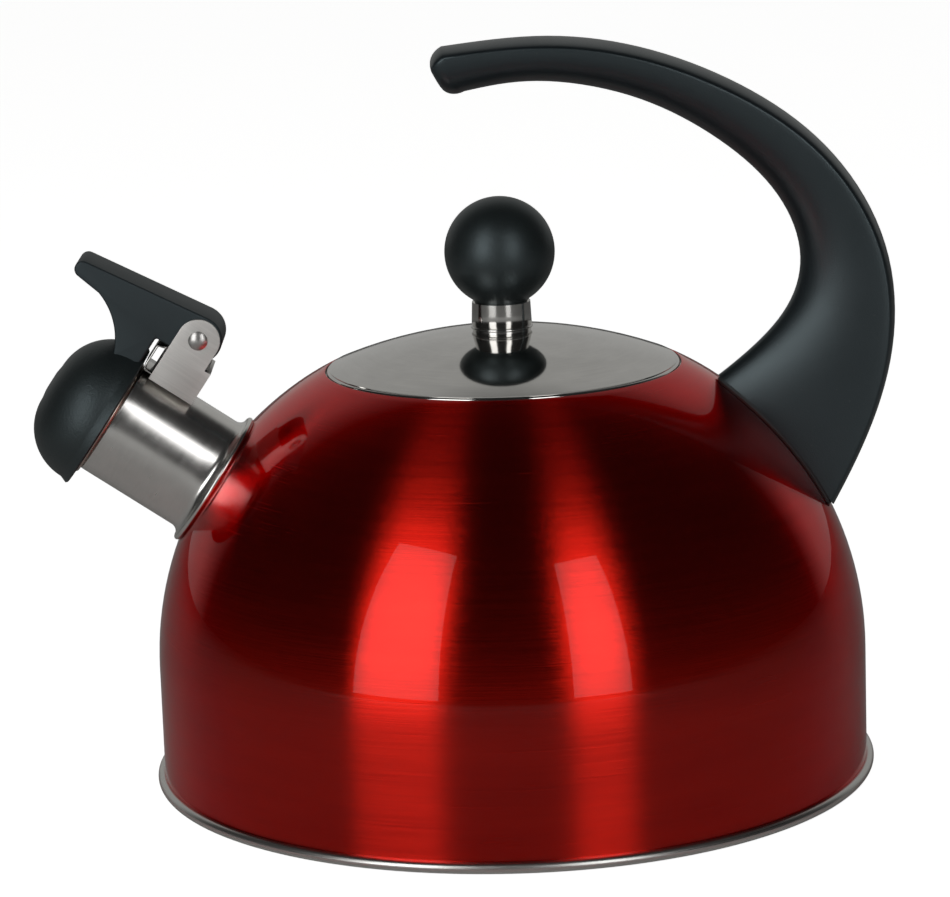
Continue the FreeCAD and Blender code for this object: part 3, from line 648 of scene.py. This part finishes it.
class KETTLE_OT_body(bpy.types.Operator):
    """Turn the lacquered body, with its shoulder, lid shelf, neck and spout hole."""
    bl_idname = "kettle.body"
    bl_label = "Body"

    def execute(self, context):
        s = sizes()
        foot = near("body_shell").z
        shoulder, _, crown = dome_centres()
        end_r, end_z = dome_end()
        shelf = shelf_height()
        neck = shelf - s.neck_depth
        step = end_r + s.wall
        under = crown_height(step, -s.wall)
        inner = s.body_r - s.wall
        body = draw("kettle_body", (inner, foot), (
            (s.body_r, foot), (s.body_r, s.wall_top),
            (*shoulder, s.shoulder_turn), (*crown, crown_turn(end_r)),
            (end_r, shelf), (s.opening_r, shelf), (s.opening_r, neck),
            (s.opening_r + s.wall, neck), (s.opening_r + s.wall, shelf - s.wall),
            (step, shelf - s.wall), (step, under),
            (*crown, -crown_turn(step, -s.wall)), (*shoulder, -s.shoulder_turn),
            (inner, foot),
        ))
        bpy.ops.mesh.select_all(action="SELECT")
        bpy.ops.mesh.remove_doubles(threshold=WELD)
        self.round_profile(body, ((end_r, end_z), (s.opening_r, shelf)))
        bpy.ops.mesh.select_all(action="SELECT")
        bpy.ops.mesh.spin(steps=ROUND_STEPS, angle=math.tau, center=(0, 0, 0), axis=(0, 0, 1))
        tidy_mesh()
        deselect()
        long = far("spout_tube").x - near("spout_tube").x
        bpy.ops.mesh.primitive_cylinder_add(
            vertices=96, radius=s.spout_r, depth=long / 2, location=(0, 0, 0))
        drill = bpy.context.object
        place(drill, spout_matrix())
        cut_away(body, drill)
        finish_piece(body, "kettle", "body_lacquer", "body_shell")
        self.bare_inside(body)
        return {"FINISHED"}

    def round_profile(self, body, corners):
        """Rounds the pressed corners of the profile."""
        choose(body, lambda point: any(
            math.hypot(point.co.x - x, point.co.z - z) < 4 * WELD for x, z in corners))
        bpy.ops.mesh.bevel(offset=0.0004, segments=4, affect="VERTICES")

    def bare_inside(self, body):
        """Leaves the sheet bare on its inner side and under the lid."""
        body.data.materials.append(finish("inner_steel"))
        middle = Vector((0.0, 0.0, sizes().wall_top))
        edge = dome_end()[0] - 2 * EDGE_GAP
        for face in body.data.polygons:
            inward = face.normal.dot(face.center - middle) < 0
            on_shelf = math.hypot(face.center.x, face.center.y) < edge
            face.material_index = 1 if inward or on_shelf else 0


class KETTLE_OT_base(bpy.types.Operator):
    """Turn the pan with its rolled rim, and the capped base under it."""
    bl_idname = "kettle.base"
    bl_label = "Base"

    def execute(self, context):
        self.rim()
        self.plate()
        return {"FINISHED"}

    def rim(self):
        s = sizes()
        low = near("base_pan").z
        top = far("base_pan").z
        middle = low + s.bead_r
        inner = s.body_r - s.wall
        hem = inner - s.bead_r
        sheet = 0.0008
        wrap = math.asin((s.bead_at - s.body_r) / s.bead_r)
        foot = near("body_shell").z
        rim = turn_solid("base_rim", (hem, low), (
            (s.bead_at, low), (s.bead_at, middle, math.pi + wrap),
            (s.body_r, foot), (inner, foot), (inner, top), (0.0, top),
            (0.0, top - sheet), (hem, top - sheet), (hem, low),
        ), 256)
        finish_piece(rim, "kettle", "base_steel", "base_pan")

    def plate(self):
        s = sizes()
        top = far("base_cap").z
        turn = 0.002
        sheet = 0.0006
        groove = 0.0004
        strokes = []
        for radius in (0.030, 0.052, 0.074):
            strokes += [(radius - groove, 0.0), (radius, 0.0, -math.pi)]
        strokes += [
            (s.base_r - turn, 0.0), (s.base_r - turn, turn, math.pi / 2), (s.base_r, top),
            (s.base_r - sheet, top), (s.base_r - sheet, turn),
            (s.base_r - turn, turn, -math.pi / 2), (0.0, sheet),
        ]
        plate = turn_solid("base_plate", (0.0, 0.0), strokes)
        finish_piece(plate, "kettle", "base_steel", "base_cap")


class KETTLE_OT_lid(bpy.types.Operator):
    """Turn the mirror lid with its hemmed edge."""
    bl_idname = "kettle.lid"
    bl_label = "Lid"

    def execute(self, context):
        s = sizes()
        hem = LID_HEM / 2
        bottom = shelf_height() + SEAT_GAP
        _, sphere, middle = lid_shape()
        hole = 0.0027
        edge = s.lid_r - hem
        hem_width = 0.0024
        inner = s.lid_r - hem_width
        outer_turn = math.asin(edge / sphere) - math.asin(hole / sphere)
        inner_sphere = sphere - s.wall
        inner_turn = math.asin(inner / inner_sphere) - math.asin(hole / inner_sphere)
        lid = turn_solid("lid_cover", (hole, lid_height(hole)), (
            (0.0, middle, -outer_turn), (edge, bottom + LID_HEM), (edge, bottom + hem, -math.pi),
            (inner, bottom), (inner, lid_height(inner, s.wall)),
            (0.0, middle, inner_turn), (hole, lid_height(hole)),
        ), 256)
        finish_piece(lid, "lid", "lid_steel", "lid_shell")
        return {"FINISHED"}


class KETTLE_OT_knob(bpy.types.Operator):
    """Turn the ball and the polished neck that it stands on."""
    bl_idname = "kettle.knob"
    bl_label = "Knob"

    def execute(self, context):
        s = sizes()
        flat = near("knob_ball").z
        middle = far("knob_ball").z - s.ball_r
        neck_r = math.sqrt(s.ball_r ** 2 - (middle - flat) ** 2)
        round_r = 0.0005
        lean = math.atan2(middle - flat, neck_r)
        ball = turn_solid("knob", (0.0, flat), (
            (neck_r - round_r, flat), (neck_r, flat + round_r), (0.0, middle, lean + math.pi / 2),
        ), 128)
        finish_piece(ball, "lid", "knob_plastic", "knob_ball")
        self.neck(neck_r, flat)
        return {"FINISHED"}

    def neck(self, top_r, top):
        lid_top = lid_shape()[0]
        bead = 0.00045
        foot_r = far("knob_ferrule").x - bead
        bead_z = lid_top + 2 * bead
        sheet = 0.0008
        bore = 0.0030
        under = lid_height(foot_r)
        neck = turn_solid("knob_neck", (foot_r - sheet, under), (
            (foot_r, under), (foot_r, bead_z - bead), (foot_r, bead_z, math.pi),
            (foot_r + bead / 2, bead_z + 2 * bead), (top_r, top - bead), (top_r - bead, top),
            (bore, top), (bore, top - sheet), (foot_r - sheet, top - sheet),
            (foot_r - sheet, under),
        ), 128)
        finish_piece(neck, "lid", "spout_steel", "knob_ferrule", "neck_steel")


class KETTLE_OT_spout(bpy.types.Operator):
    """Turn the spout's tube with its beaded flange."""
    bl_idname = "kettle.spout"
    bl_label = "Spout"

    def execute(self, context):
        s = sizes()
        sheet = 0.0008
        tail = 0.005
        bead = 0.0008
        fillet = 0.0026
        lip = sheet / 2
        sunk = 0.0004
        inner = s.spout_r - sheet
        tube = turn_solid("spout", (inner, -tail), (
            (s.spout_r, -tail), (s.spout_r, -sunk), (s.flange_r - bead, -sunk),
            (s.flange_r - bead, 0.0), (s.flange_r - bead, bead, math.pi),
            (s.spout_r + fillet, 2 * bead), (s.spout_r + fillet, 2 * bead + fillet, -math.pi / 2),
            (s.spout_r, s.spout_long - lip), (s.spout_r - lip, s.spout_long - lip, math.pi),
            (inner, -tail),
        ), 160)
        place(tube, spout_matrix())
        finish_piece(tube, "kettle", "spout_steel", "spout_tube")
        return {"FINISHED"}


# The rivet's height over the spout's axis, and its place along it
PIVOT = (0.0349, 0.0271)


class KETTLE_OT_yoke(bpy.types.Operator):
    """Fold the yoke that carries the lever, and set its spring clip and rivet."""
    bl_idname = "kettle.yoke"
    bl_label = "Yoke"

    back: length("Back", "Where the yoke starts along the spout", 0.0186)
    front: length("Front", "Where the yoke's ears end", 0.0333)
    ear_back: length("Ear back", "Where the ears' upper part starts", 0.0207)
    ear_r: length("Ear radius", "Radius of the ears' round tops", 0.0063)
    floor: length("Floor", "Height of the yoke's underside over the spout's axis", 0.0176)
    sheet: length("Sheet", "Thickness of the yoke's sheet", 0.0010)
    gap: length("Half gap", "Half the room between the ears", 0.0098)
    web: length("Web top", "Height of the rear web over the spout's axis", 0.0283)
    pivot_u: length("Pivot along", "The rivet's place along the spout", PIVOT[1])
    pivot_v: length("Pivot height", "The rivet's height over the spout's axis", PIVOT[0])

    def execute(self, context):
        self.yoke()
        self.clip()
        self.rivet()
        return {"FINISHED"}

    def yoke(self):
        crown = self.pivot_v + self.ear_r
        long = self.front - self.back
        yoke = thick_solid("yoke", (self.floor, self.back), (
            (self.floor, self.front), (self.pivot_v, self.front),
            (self.pivot_v, (self.front + self.ear_back) / 2, -math.pi),
            (self.web, self.ear_back), (self.web, self.back), (self.floor, self.back),
        ), self.gap + self.sheet)
        self.box_cut(yoke, (self.floor + self.sheet, self.back + self.sheet), (crown, 2 * long))
        self.box_cut(yoke, (self.web, self.back - self.sheet), (crown, long + self.sheet))
        deselect()
        bpy.ops.mesh.primitive_cylinder_add(
            vertices=160, radius=sizes().spout_r, depth=6 * long, location=(0, 0, self.back))
        cut_away(yoke, bpy.context.object)
        round_edges(yoke, 0.0003, 3, math.radians(50))
        place(yoke, spout_matrix())
        finish_piece(yoke, "kettle", "bracket_steel", "whistle_bracket")

    def box_cut(self, piece, corner, room):
        """Cuts a box between the ears, from a corner up and forwards."""
        deselect()
        bpy.ops.mesh.primitive_cube_add(
            size=1.0, location=(corner[0] + room[0] / 2, 0.0, corner[1] + room[1] / 2),
            scale=(room[0], 2 * self.gap, room[1]))
        cut_away(piece, bpy.context.object)

    def clip(self):
        sheet = 0.0005
        bend = 0.0009
        wing = 0.0027
        front = 0.0363
        tall = 0.0088
        side_gap = 0.0009
        back_gap = 0.0020
        low = self.floor + self.sheet
        top = low + tall
        start = self.back + self.sheet + back_gap
        strip = draw("yoke_clip", (low, start), (
            (low, front - bend), (low + bend, front - bend, -math.pi / 2),
            (top - bend, front), (top - bend, front - bend, -math.pi / 2),
            (top + sheet, front - wing),
        ))
        bpy.ops.mesh.select_all(action="SELECT")
        widen(self.gap - side_gap)
        bpy.ops.object.mode_set(mode="OBJECT")
        apply_modifier(strip, "SOLIDIFY", thickness=sheet, offset=-1.0, use_even_offset=True)
        round_edges(strip, 0.00012, 2, math.radians(50))
        place(strip, spout_matrix())
        finish_piece(strip, "kettle", "spring_steel", "stop_clip")

    def rivet(self):
        shank = 0.0016
        head = 0.0028
        rise = 0.0012
        edge = 0.0003
        reach = self.gap + self.sheet
        sphere = (head ** 2 + (rise - edge) ** 2) / (2 * (rise - edge))
        lean = math.asin(head / sphere)
        rivet = turn_solid("yoke_rivet", (0.0, -reach - rise), (
            (0.0, -reach - rise + sphere, lean), (head, -reach), (shank, -reach), (shank, reach),
            (head, reach), (head, reach + edge), (0.0, reach + rise - sphere, lean),
        ), 64)
        self.turn_across(rivet)
        finish_piece(rivet, "kettle", "screw_steel", "pivot_rivet")

    def turn_across(self, piece):
        """Lays a piece drawn on the Z axis along Y, at the yoke's pivot."""
        lay = Matrix.Rotation(math.pi / 2, 4, "X")
        there = Matrix.Translation((self.pivot_v, 0.0, self.pivot_u))
        place(piece, spout_matrix() @ there @ lay)


class KETTLE_OT_lever(bpy.types.Operator):
    """Mould the thumb lever, from its hub to its tip and down to the whistle hood."""
    bl_idname = "kettle.lever"
    bl_label = "Thumb lever"

    hub_r: length("Hub radius", "Radius of the hub round the rivet", 0.0070)
    tip: length("Tip", "Where the lever ends, along the spout", 0.0689)
    tip_drop: length("Tip drop", "How far the top falls from the hub to the tip", 0.0051)
    tip_high: length("Tip height", "Height of the lever's blunt end", 0.0049)
    edge: length("Edge radius", "Rounding of the lever's edges", 0.0013)

    def execute(self, context):
        back_v = PIVOT[0] + self.hub_r
        tip_v = back_v - self.tip_drop
        nose_v = tip_v - self.tip_high
        bulge = 0.0020
        nose_u = self.tip - bulge
        top_start = 0.0278
        nose_back = (0.0309, 0.0589)
        thumb_deep = (0.0259, 0.0509)
        foot_v, foot_back, foot_front = 0.0140, 0.0378, 0.0450
        recess, recess_back = 0.0286, PIVOT[1] + 0.0030
        hub_step = 0.0010
        sphere = ((self.tip_high / 2) ** 2 + bulge ** 2) / (2 * bulge)
        tip_middle = ((tip_v + nose_v) / 2, self.tip - sphere)
        sweep = 2 * math.asin(self.tip_high / 2 / sphere)
        curve = self.thumb_curve(nose_back, thumb_deep, (foot_v, foot_front))
        low = PIVOT[0] - math.sqrt(self.hub_r ** 2 - hub_step ** 2)
        lever = thick_solid("thumb_lever", (back_v, PIVOT[1]), (
            (back_v, top_start), (tip_v, nose_u), (*tip_middle, sweep), nose_back, curve,
            (foot_v, foot_back), (recess, foot_back), (recess, recess_back),
            (low, PIVOT[1] + hub_step), (*PIVOT, math.pi + math.asin(hub_step / self.hub_r)),
        ), sizes().lever_width / 2)
        round_edges(lever, self.edge, 4)
        hood = turn_solid("hood_form", *hood_profile(), 96)
        place(hood, Matrix.Translation((-sizes().cap_drop, 0.0, 0.0)))
        cut_away(lever, hood)
        place(lever, spout_matrix())
        finish_piece(lever, "lever", "lever_plastic", "lever")
        return {"FINISHED"}

    def thumb_curve(self, first, middle, last):
        """The concave curve under the thumb, as the arc through three points."""
        (ax, az), (bx, bz), (cx, cz) = first, middle, last
        twice = 2 * (ax * (bz - cz) + bx * (cz - az) + cx * (az - bz))
        a2, b2, c2 = ax ** 2 + az ** 2, bx ** 2 + bz ** 2, cx ** 2 + cz ** 2
        centre = ((a2 * (bz - cz) + b2 * (cz - az) + c2 * (az - bz)) / twice,
                  (a2 * (cx - bx) + b2 * (ax - cx) + c2 * (bx - ax)) / twice)
        start = math.atan2(az - centre[1], ax - centre[0])
        stop = math.atan2(cz - centre[1], cx - centre[0])
        turn = (stop - start + math.pi) % math.tau - math.pi
        return (*centre, turn)


HOOD_RIM = (0.0233, 0.0368)
HOOD_SIDE_R = 0.0224
HOOD_ROUND = 0.0168
HOOD_FRONT = 0.0568
HOOD_CROWN = 0.0005
HOOD_WALL = 0.0026


def hood_profile():
    """The hood's outer outline from its axis at the rim round to its axis at the front."""
    rim_r, rim_u = HOOD_RIM
    corner = HOOD_FRONT - HOOD_CROWN - HOOD_ROUND
    return (0.0, rim_u), (
        (rim_r, rim_u), (HOOD_SIDE_R, corner),
        (HOOD_SIDE_R - HOOD_ROUND, corner, math.pi / 2), (0.0, HOOD_FRONT))


class KETTLE_OT_hood(bpy.types.Operator):
    """Turn the whistle's grained hood and the steel cup inside it."""
    bl_idname = "kettle.hood"
    bl_label = "Whistle hood"

    cup_r: length("Cup radius", "Outer radius of the steel cup", 0.0188)
    plug_r: length("Plug radius", "Outer radius of the cup's plug in the spout", 0.0154)
    bore: length("Bore depth", "How deep the cup sits in the hood", 0.0080)
    vent_r: length("Vent radius", "Radius of the whistle's vent", 0.0026)

    def execute(self, context):
        self.hood()
        self.cup()
        return {"FINISHED"}

    def hood(self):
        rim_r, rim_u = HOOD_RIM
        corner = HOOD_FRONT - HOOD_CROWN - HOOD_ROUND
        flat = HOOD_SIDE_R - HOOD_ROUND
        lip = 0.0005
        ledge = 0.0006
        deep = rim_u + self.bore
        ceiling = HOOD_FRONT - HOOD_CROWN - HOOD_WALL
        hood = turn_solid("whistle_hood", (self.cup_r, rim_u + lip), (
            (self.cup_r + lip, rim_u), (rim_r - lip, rim_u), (rim_r, rim_u + lip),
            (HOOD_SIDE_R, corner), (flat, corner, math.pi / 2),
            (self.vent_r + lip, HOOD_FRONT - lip / 4), (self.vent_r, HOOD_FRONT - lip),
            (self.vent_r, ceiling), (flat, ceiling), (self.cup_r - ledge, deep), (self.cup_r, deep),
            (self.cup_r, rim_u + lip),
        ), 128)
        place(hood, spout_matrix(sizes().cap_drop))
        finish_piece(hood, "lever", "cap_plastic", "whistle_cap")

    def cup(self):
        sheet = 0.0006
        seat = sizes().spout_long + SEAT_GAP
        plug_depth = 0.0028
        floor = seat - plug_depth
        top = HOOD_RIM[1] + self.bore
        bend = 0.0007
        hole = 0.003
        inner = self.cup_r - sheet
        plug_in = self.plug_r - sheet
        cup = turn_solid("whistle_inner_cup", (hole, floor), (
            (self.plug_r - bend, floor), (self.plug_r - bend, floor + bend, math.pi / 2),
            (self.plug_r, seat), (self.cup_r - bend, seat),
            (self.cup_r - bend, seat + bend, math.pi / 2), (self.cup_r, top), (inner, top),
            (inner, seat + sheet), (plug_in, seat + sheet), (plug_in, floor + sheet),
            (hole, floor + sheet), (hole, floor),
        ), 128)
        place(cup, spout_matrix(sizes().cap_drop))
        finish_piece(cup, "lever", "cup_steel", "whistle_cup")


# The grip's stations: back edge (x, z), inner edge (x, z) and half the width, in metres
GRIP_STATIONS = (
    ((-0.0152, 0.2166), (-0.0087, 0.2036), 0.0106),
    ((0.0160, 0.2186), (0.0125, 0.2059), 0.0118),
    ((0.0466, 0.2134), (0.0390, 0.2009), 0.0120),
    ((0.0753, 0.2006), (0.0625, 0.1888), 0.0120),
    ((0.0984, 0.1816), (0.0802, 0.1725), 0.0120),
    ((0.1130, 0.1549), (0.0880, 0.1540), 0.0120),
    ((0.1147, 0.1245), (0.0840, 0.1370), 0.0120),
    ((0.1056, 0.0953), (0.0700, 0.1222), 0.0116),
    ((0.0910, 0.0675), (0.0500, 0.1075), 0.0110),
)
TIP_RINGS = 7
TIP_DEGREES = 86.0


class KETTLE_OT_grip(bpy.types.Operator):
    """Loft the crescent grip through its stations and cut its foot to the dome."""
    bl_idname = "kettle.grip"
    bl_label = "Grip"

    points: IntProperty(name="Points", description="Points round each section", default=72, min=16)
    spans: IntProperty(name="Spans", description="Sections between two stations", default=8, min=2)
    tip_long: length("Tip length", "How far the rounded tip runs past the first station", 0.0054)
    tip_round: length("Tip rounding", "How much the tip's end draws in", 0.0042)

    def execute(self, context):
        track = self.smooth_track()
        count = (len(GRIP_STATIONS) - 1) * self.spans
        pad_gap = 0.0009
        rings = [self.tip_ring(track, step) for step in range(TIP_RINGS, 0, -1)]
        rings += [self.ring(track, index / self.spans, 0.0, 0.0) for index in range(count + 1)]
        grip = self.join(rings)
        form = turn_solid("dome_form", *dome_form(pad_gap), 256)
        cut_away(grip, form)
        finish_piece(grip, "kettle", "grip_plastic", "handle", limit=math.radians(50))
        return {"FINISHED"}

    def smooth_track(self):
        """A natural cubic spline through the stations: returns the values at a station number."""
        values = np.array([[*back, *inner, half] for back, inner, half in GRIP_STATIONS])
        count = len(values)
        system = np.zeros((count, count))
        bends = np.zeros_like(values)
        system[0, 0] = system[-1, -1] = 1.0
        for row in range(1, count - 1):
            system[row, row - 1:row + 2] = (1.0, 4.0, 1.0)
            bends[row] = 6 * (values[row + 1] - 2 * values[row] + values[row - 1])
        curl = np.linalg.solve(system, bends)

        def at(number):
            low = min(int(number), count - 2)
            b = number - low
            a = 1.0 - b
            straight = a * values[low] + b * values[low + 1]
            return straight + ((a ** 3 - a) * curl[low] + (b ** 3 - b) * curl[low + 1]) / 6

        return at

    def tip_ring(self, track, step):
        turn = math.radians(TIP_DEGREES * step / TIP_RINGS)
        inset = self.tip_round * (1 - math.cos(turn))
        return self.ring(track, 0.0, inset, self.tip_long * math.sin(turn))

    def ring(self, track, number, inset, shift):
        """One section: a circle whose back half is pressed flat and whose inner half is drawn deep."""
        back_x, back_z, inner_x, inner_z, half = track(number)
        back = Vector((back_x, 0.0, back_z))
        inward = Vector((inner_x, 0.0, inner_z)) - back
        depth = inward.length - 2 * inset
        inward.normalize()
        along = Vector((0.0, 1.0, 0.0)).cross(inward)
        full_depth = 0.016
        crease = sizes().grip_bead * min(1.0, depth / full_depth) * (1 - inset / depth)
        deselect()
        bpy.ops.mesh.primitive_circle_add(vertices=self.points, radius=half - inset)
        ring = bpy.context.object
        bpy.ops.object.mode_set(mode="EDIT")
        for side, reach in ((-1, crease), (1, depth - crease)):
            choose(ring, lambda point: point.co.y * side > WELD)
            bpy.ops.transform.resize(value=(1.0, reach / (half - inset), 1.0), center_override=(0, 0, 0))
        bpy.ops.object.mode_set(mode="OBJECT")
        across = Vector((0.0, 1.0, 0.0))
        turned = Matrix((across, inward, along)).transposed().to_4x4()
        middle = back + inward * (inset + crease) + along * shift
        place(ring, Matrix.Translation(middle) @ turned)
        return ring

    def join(self, rings):
        """Bridges each section to the next and closes both ends."""
        deselect()
        for ring in rings:
            ring.select_set(True)
        bpy.context.view_layer.objects.active = rings[0]
        bpy.ops.object.join()
        grip = bpy.context.object
        grip.name = "grip"
        grip.data.name = "grip"
        bpy.ops.object.mode_set(mode="EDIT")
        for index in range(len(rings) - 1):
            self.choose_rings(grip, index, index + 2)
            bpy.ops.mesh.bridge_edge_loops()
        for index in (0, len(rings) - 1):
            self.choose_rings(grip, index, index + 1)
            bpy.ops.mesh.edge_face_add()
        tidy_mesh()
        return grip

    def choose_rings(self, grip, first, stop):
        choose(grip, lambda point: first * self.points <= point.index < stop * self.points)


def dome_form(offset):
    """The outline of the solid under the dome, moved outwards by offset."""
    s = sizes()
    shoulder, _, crown = dome_centres()
    low, middle = 0.010, 0.012
    top = crown_height(middle, offset)
    wall = s.body_r + offset
    return (0.0, low), (
        (wall, low), (wall, s.wall_top), (*shoulder, s.shoulder_turn),
        (*crown, crown_turn(middle, offset)), (0.0, top), (0.0, low))


class KETTLE_OT_fittings(bpy.types.Operator):
    """Give the designed parts that stay as they are their finishes."""
    bl_idname = "kettle.fittings"
    bl_label = "Seals, screws and inserts"

    def execute(self, context):
        kept = {
            "base_core": "core_aluminium", "handle_pad": "seal_rubber", "handle_inserts": "insert_brass",
            "handle_screws": "screw_steel", "handle_washers": "screw_steel", "handle_seals": "seal_rubber",
            "spout_seal": "seal_rubber", "spout_ring": "base_steel", "lever_screw": "screw_steel",
            "whistle_disc": "cup_steel", "lid_collar": "base_steel", "knob_insert": "insert_brass",
            "knob_screw": "screw_steel", "knob_washer": "screw_steel",
        }
        for node, slot in kept.items():
            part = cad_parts[node]
            if not part.material_slots:
                part.data.materials.append(None)
            for material_slot in part.material_slots:
                material_slot.material = finish(slot)
        return {"FINISHED"}


class KETTLE_OT_stage(bpy.types.Operator):
    """Set the plain pale floor, the soft boxes and the camera."""
    bl_idname = "kettle.stage"
    bl_label = "Studio"

    def execute(self, context):
        self.floor()
        self.surroundings()
        self.soft_box("left soft box", around=-36.0, spread=13.5, low=-2.0, high=47.0)
        self.soft_box("right soft box", around=27.0, spread=9.0, low=-2.0, high=43.0)
        self.camera()
        context.scene.view_settings.view_transform = "Standard"
        return {"FINISHED"}

    def floor(self):
        deselect()
        bpy.ops.mesh.primitive_circle_add(vertices=96, radius=6.0, fill_type="NGON", location=(0, 0, 0))
        floor = bpy.context.object
        floor.name = "floor"
        material, tree, surface = new_material("Pale paper", {
            "Roughness": 0.9, "Specular IOR Level": 0.1, "Emission Color": (1.0, 1.0, 1.0, 1.0)})
        fibres = noise(tree, object_place(tree), 60.0, 6.0)
        paper = tuple(colours().paper)
        seen = add(tree, "ShaderNodeLightPath").outputs["Is Camera Ray"]
        feed(tree, surface, {
            "Base Color": blend_colours(tree, fibres, shaded(paper, 0.97), paper),
            "Emission Strength": maths(tree, "MULTIPLY", seen, 0.9)})
        floor.data.materials.append(material)

    def surroundings(self):
        """A dark room in front and overhead, and a grey wall behind; the camera sees it pale."""
        world = bpy.data.worlds.new("Studio")
        bpy.context.scene.world = world
        world.use_nodes = True
        tree = world.node_tree
        back = tree.nodes["Background"]
        look = add(tree, "ShaderNodeSeparateXYZ", {0: add(tree, "ShaderNodeTexCoord").outputs["Generated"]})
        behind = ramp(tree, look.outputs[1], 0.48, 0.66)
        low = ramp(tree, look.outputs[2], 0.87, 0.82)
        dark_room = (0.02, 0.02, 0.02, 1.0)
        grey_wall = (0.38, 0.38, 0.37, 1.0)
        grey = blend_colours(tree, maths(tree, "MULTIPLY", behind, low), dark_room, grey_wall)
        seen = add(tree, "ShaderNodeLightPath").outputs["Is Camera Ray"]
        tree.links.new(blend_colours(tree, seen, grey, (0.93, 0.93, 0.93, 1.0)), back.inputs["Color"])

    def soft_box(self, name, around, spread, low, high, brightness=2.6):
        """An upright soft box that spans an angle round the kettle, and an angle up from its base."""
        away = 1.4
        level = 0.08
        bottom = level + away * math.tan(math.radians(low))
        top = level + away * math.tan(math.radians(high))
        turn = math.radians(around)
        location = (away * math.sin(turn), -away * math.cos(turn), (top + bottom) / 2)
        bpy.ops.object.light_add(type="AREA", location=location, rotation=(math.pi / 2, 0.0, turn))
        light = bpy.context.object
        light.name = name
        light.data.shape = "RECTANGLE"
        light.data.size = 2 * away * math.tan(math.radians(spread))
        light.data.size_y = top - bottom
        light.data.energy = brightness * math.pi * light.data.size * light.data.size_y

    def camera(self):
        turn, dip, roll = -0.0083, 0.2137, -0.0337
        aim = (Matrix.Rotation(-turn, 4, "Z") @ Matrix.Rotation(math.pi / 2 - dip, 4, "X")
               @ Matrix.Rotation(roll, 4, "Z"))
        bpy.ops.object.camera_add(location=(0.0, -1.1010, 0.33614))
        camera = bpy.context.object
        camera.matrix_world = Matrix.Translation(camera.location) @ aim
        camera.data.lens = 143.9
        camera.data.sensor_width = 36.0
        bpy.context.scene.camera = camera


OPERATORS = (
    KETTLE_OT_body, KETTLE_OT_base, KETTLE_OT_lid, KETTLE_OT_knob, KETTLE_OT_spout, KETTLE_OT_yoke,
    KETTLE_OT_lever, KETTLE_OT_hood, KETTLE_OT_grip, KETTLE_OT_fittings, KETTLE_OT_stage,
)


class KETTLE_PT_panel(bpy.types.Panel):
    """Lists the kettle's pieces and its sizes."""
    bl_idname = "KETTLE_PT_panel"
    bl_label = "Whistling kettle"
    bl_space_type = "VIEW_3D"
    bl_region_type = "UI"
    bl_category = "Kettle"

    def draw(self, context):
        for operator in OPERATORS:
            self.layout.operator(operator.bl_idname)
        for settings in (context.scene.kettle_sizes, context.scene.kettle_colours):
            column = self.layout.column()
            for name in settings.__annotations__:
                column.prop(settings, name)


CLASSES = (KettleSizes, KettleColours) + OPERATORS + (KETTLE_PT_panel,)


def register():
    for made in CLASSES:
        bpy.utils.register_class(made)
    bpy.types.Scene.kettle_sizes = PointerProperty(type=KettleSizes)
    bpy.types.Scene.kettle_colours = PointerProperty(type=KettleColours)


def unregister():
    del bpy.types.Scene.kettle_colours
    del bpy.types.Scene.kettle_sizes
    for made in reversed(CLASSES):
        bpy.utils.unregister_class(made)


def main():
    register()
    for operator in OPERATORS:
        group, name = operator.bl_idname.split(".")
        getattr(getattr(bpy.ops, group), name)()


if __name__ == "__main__":
    main()
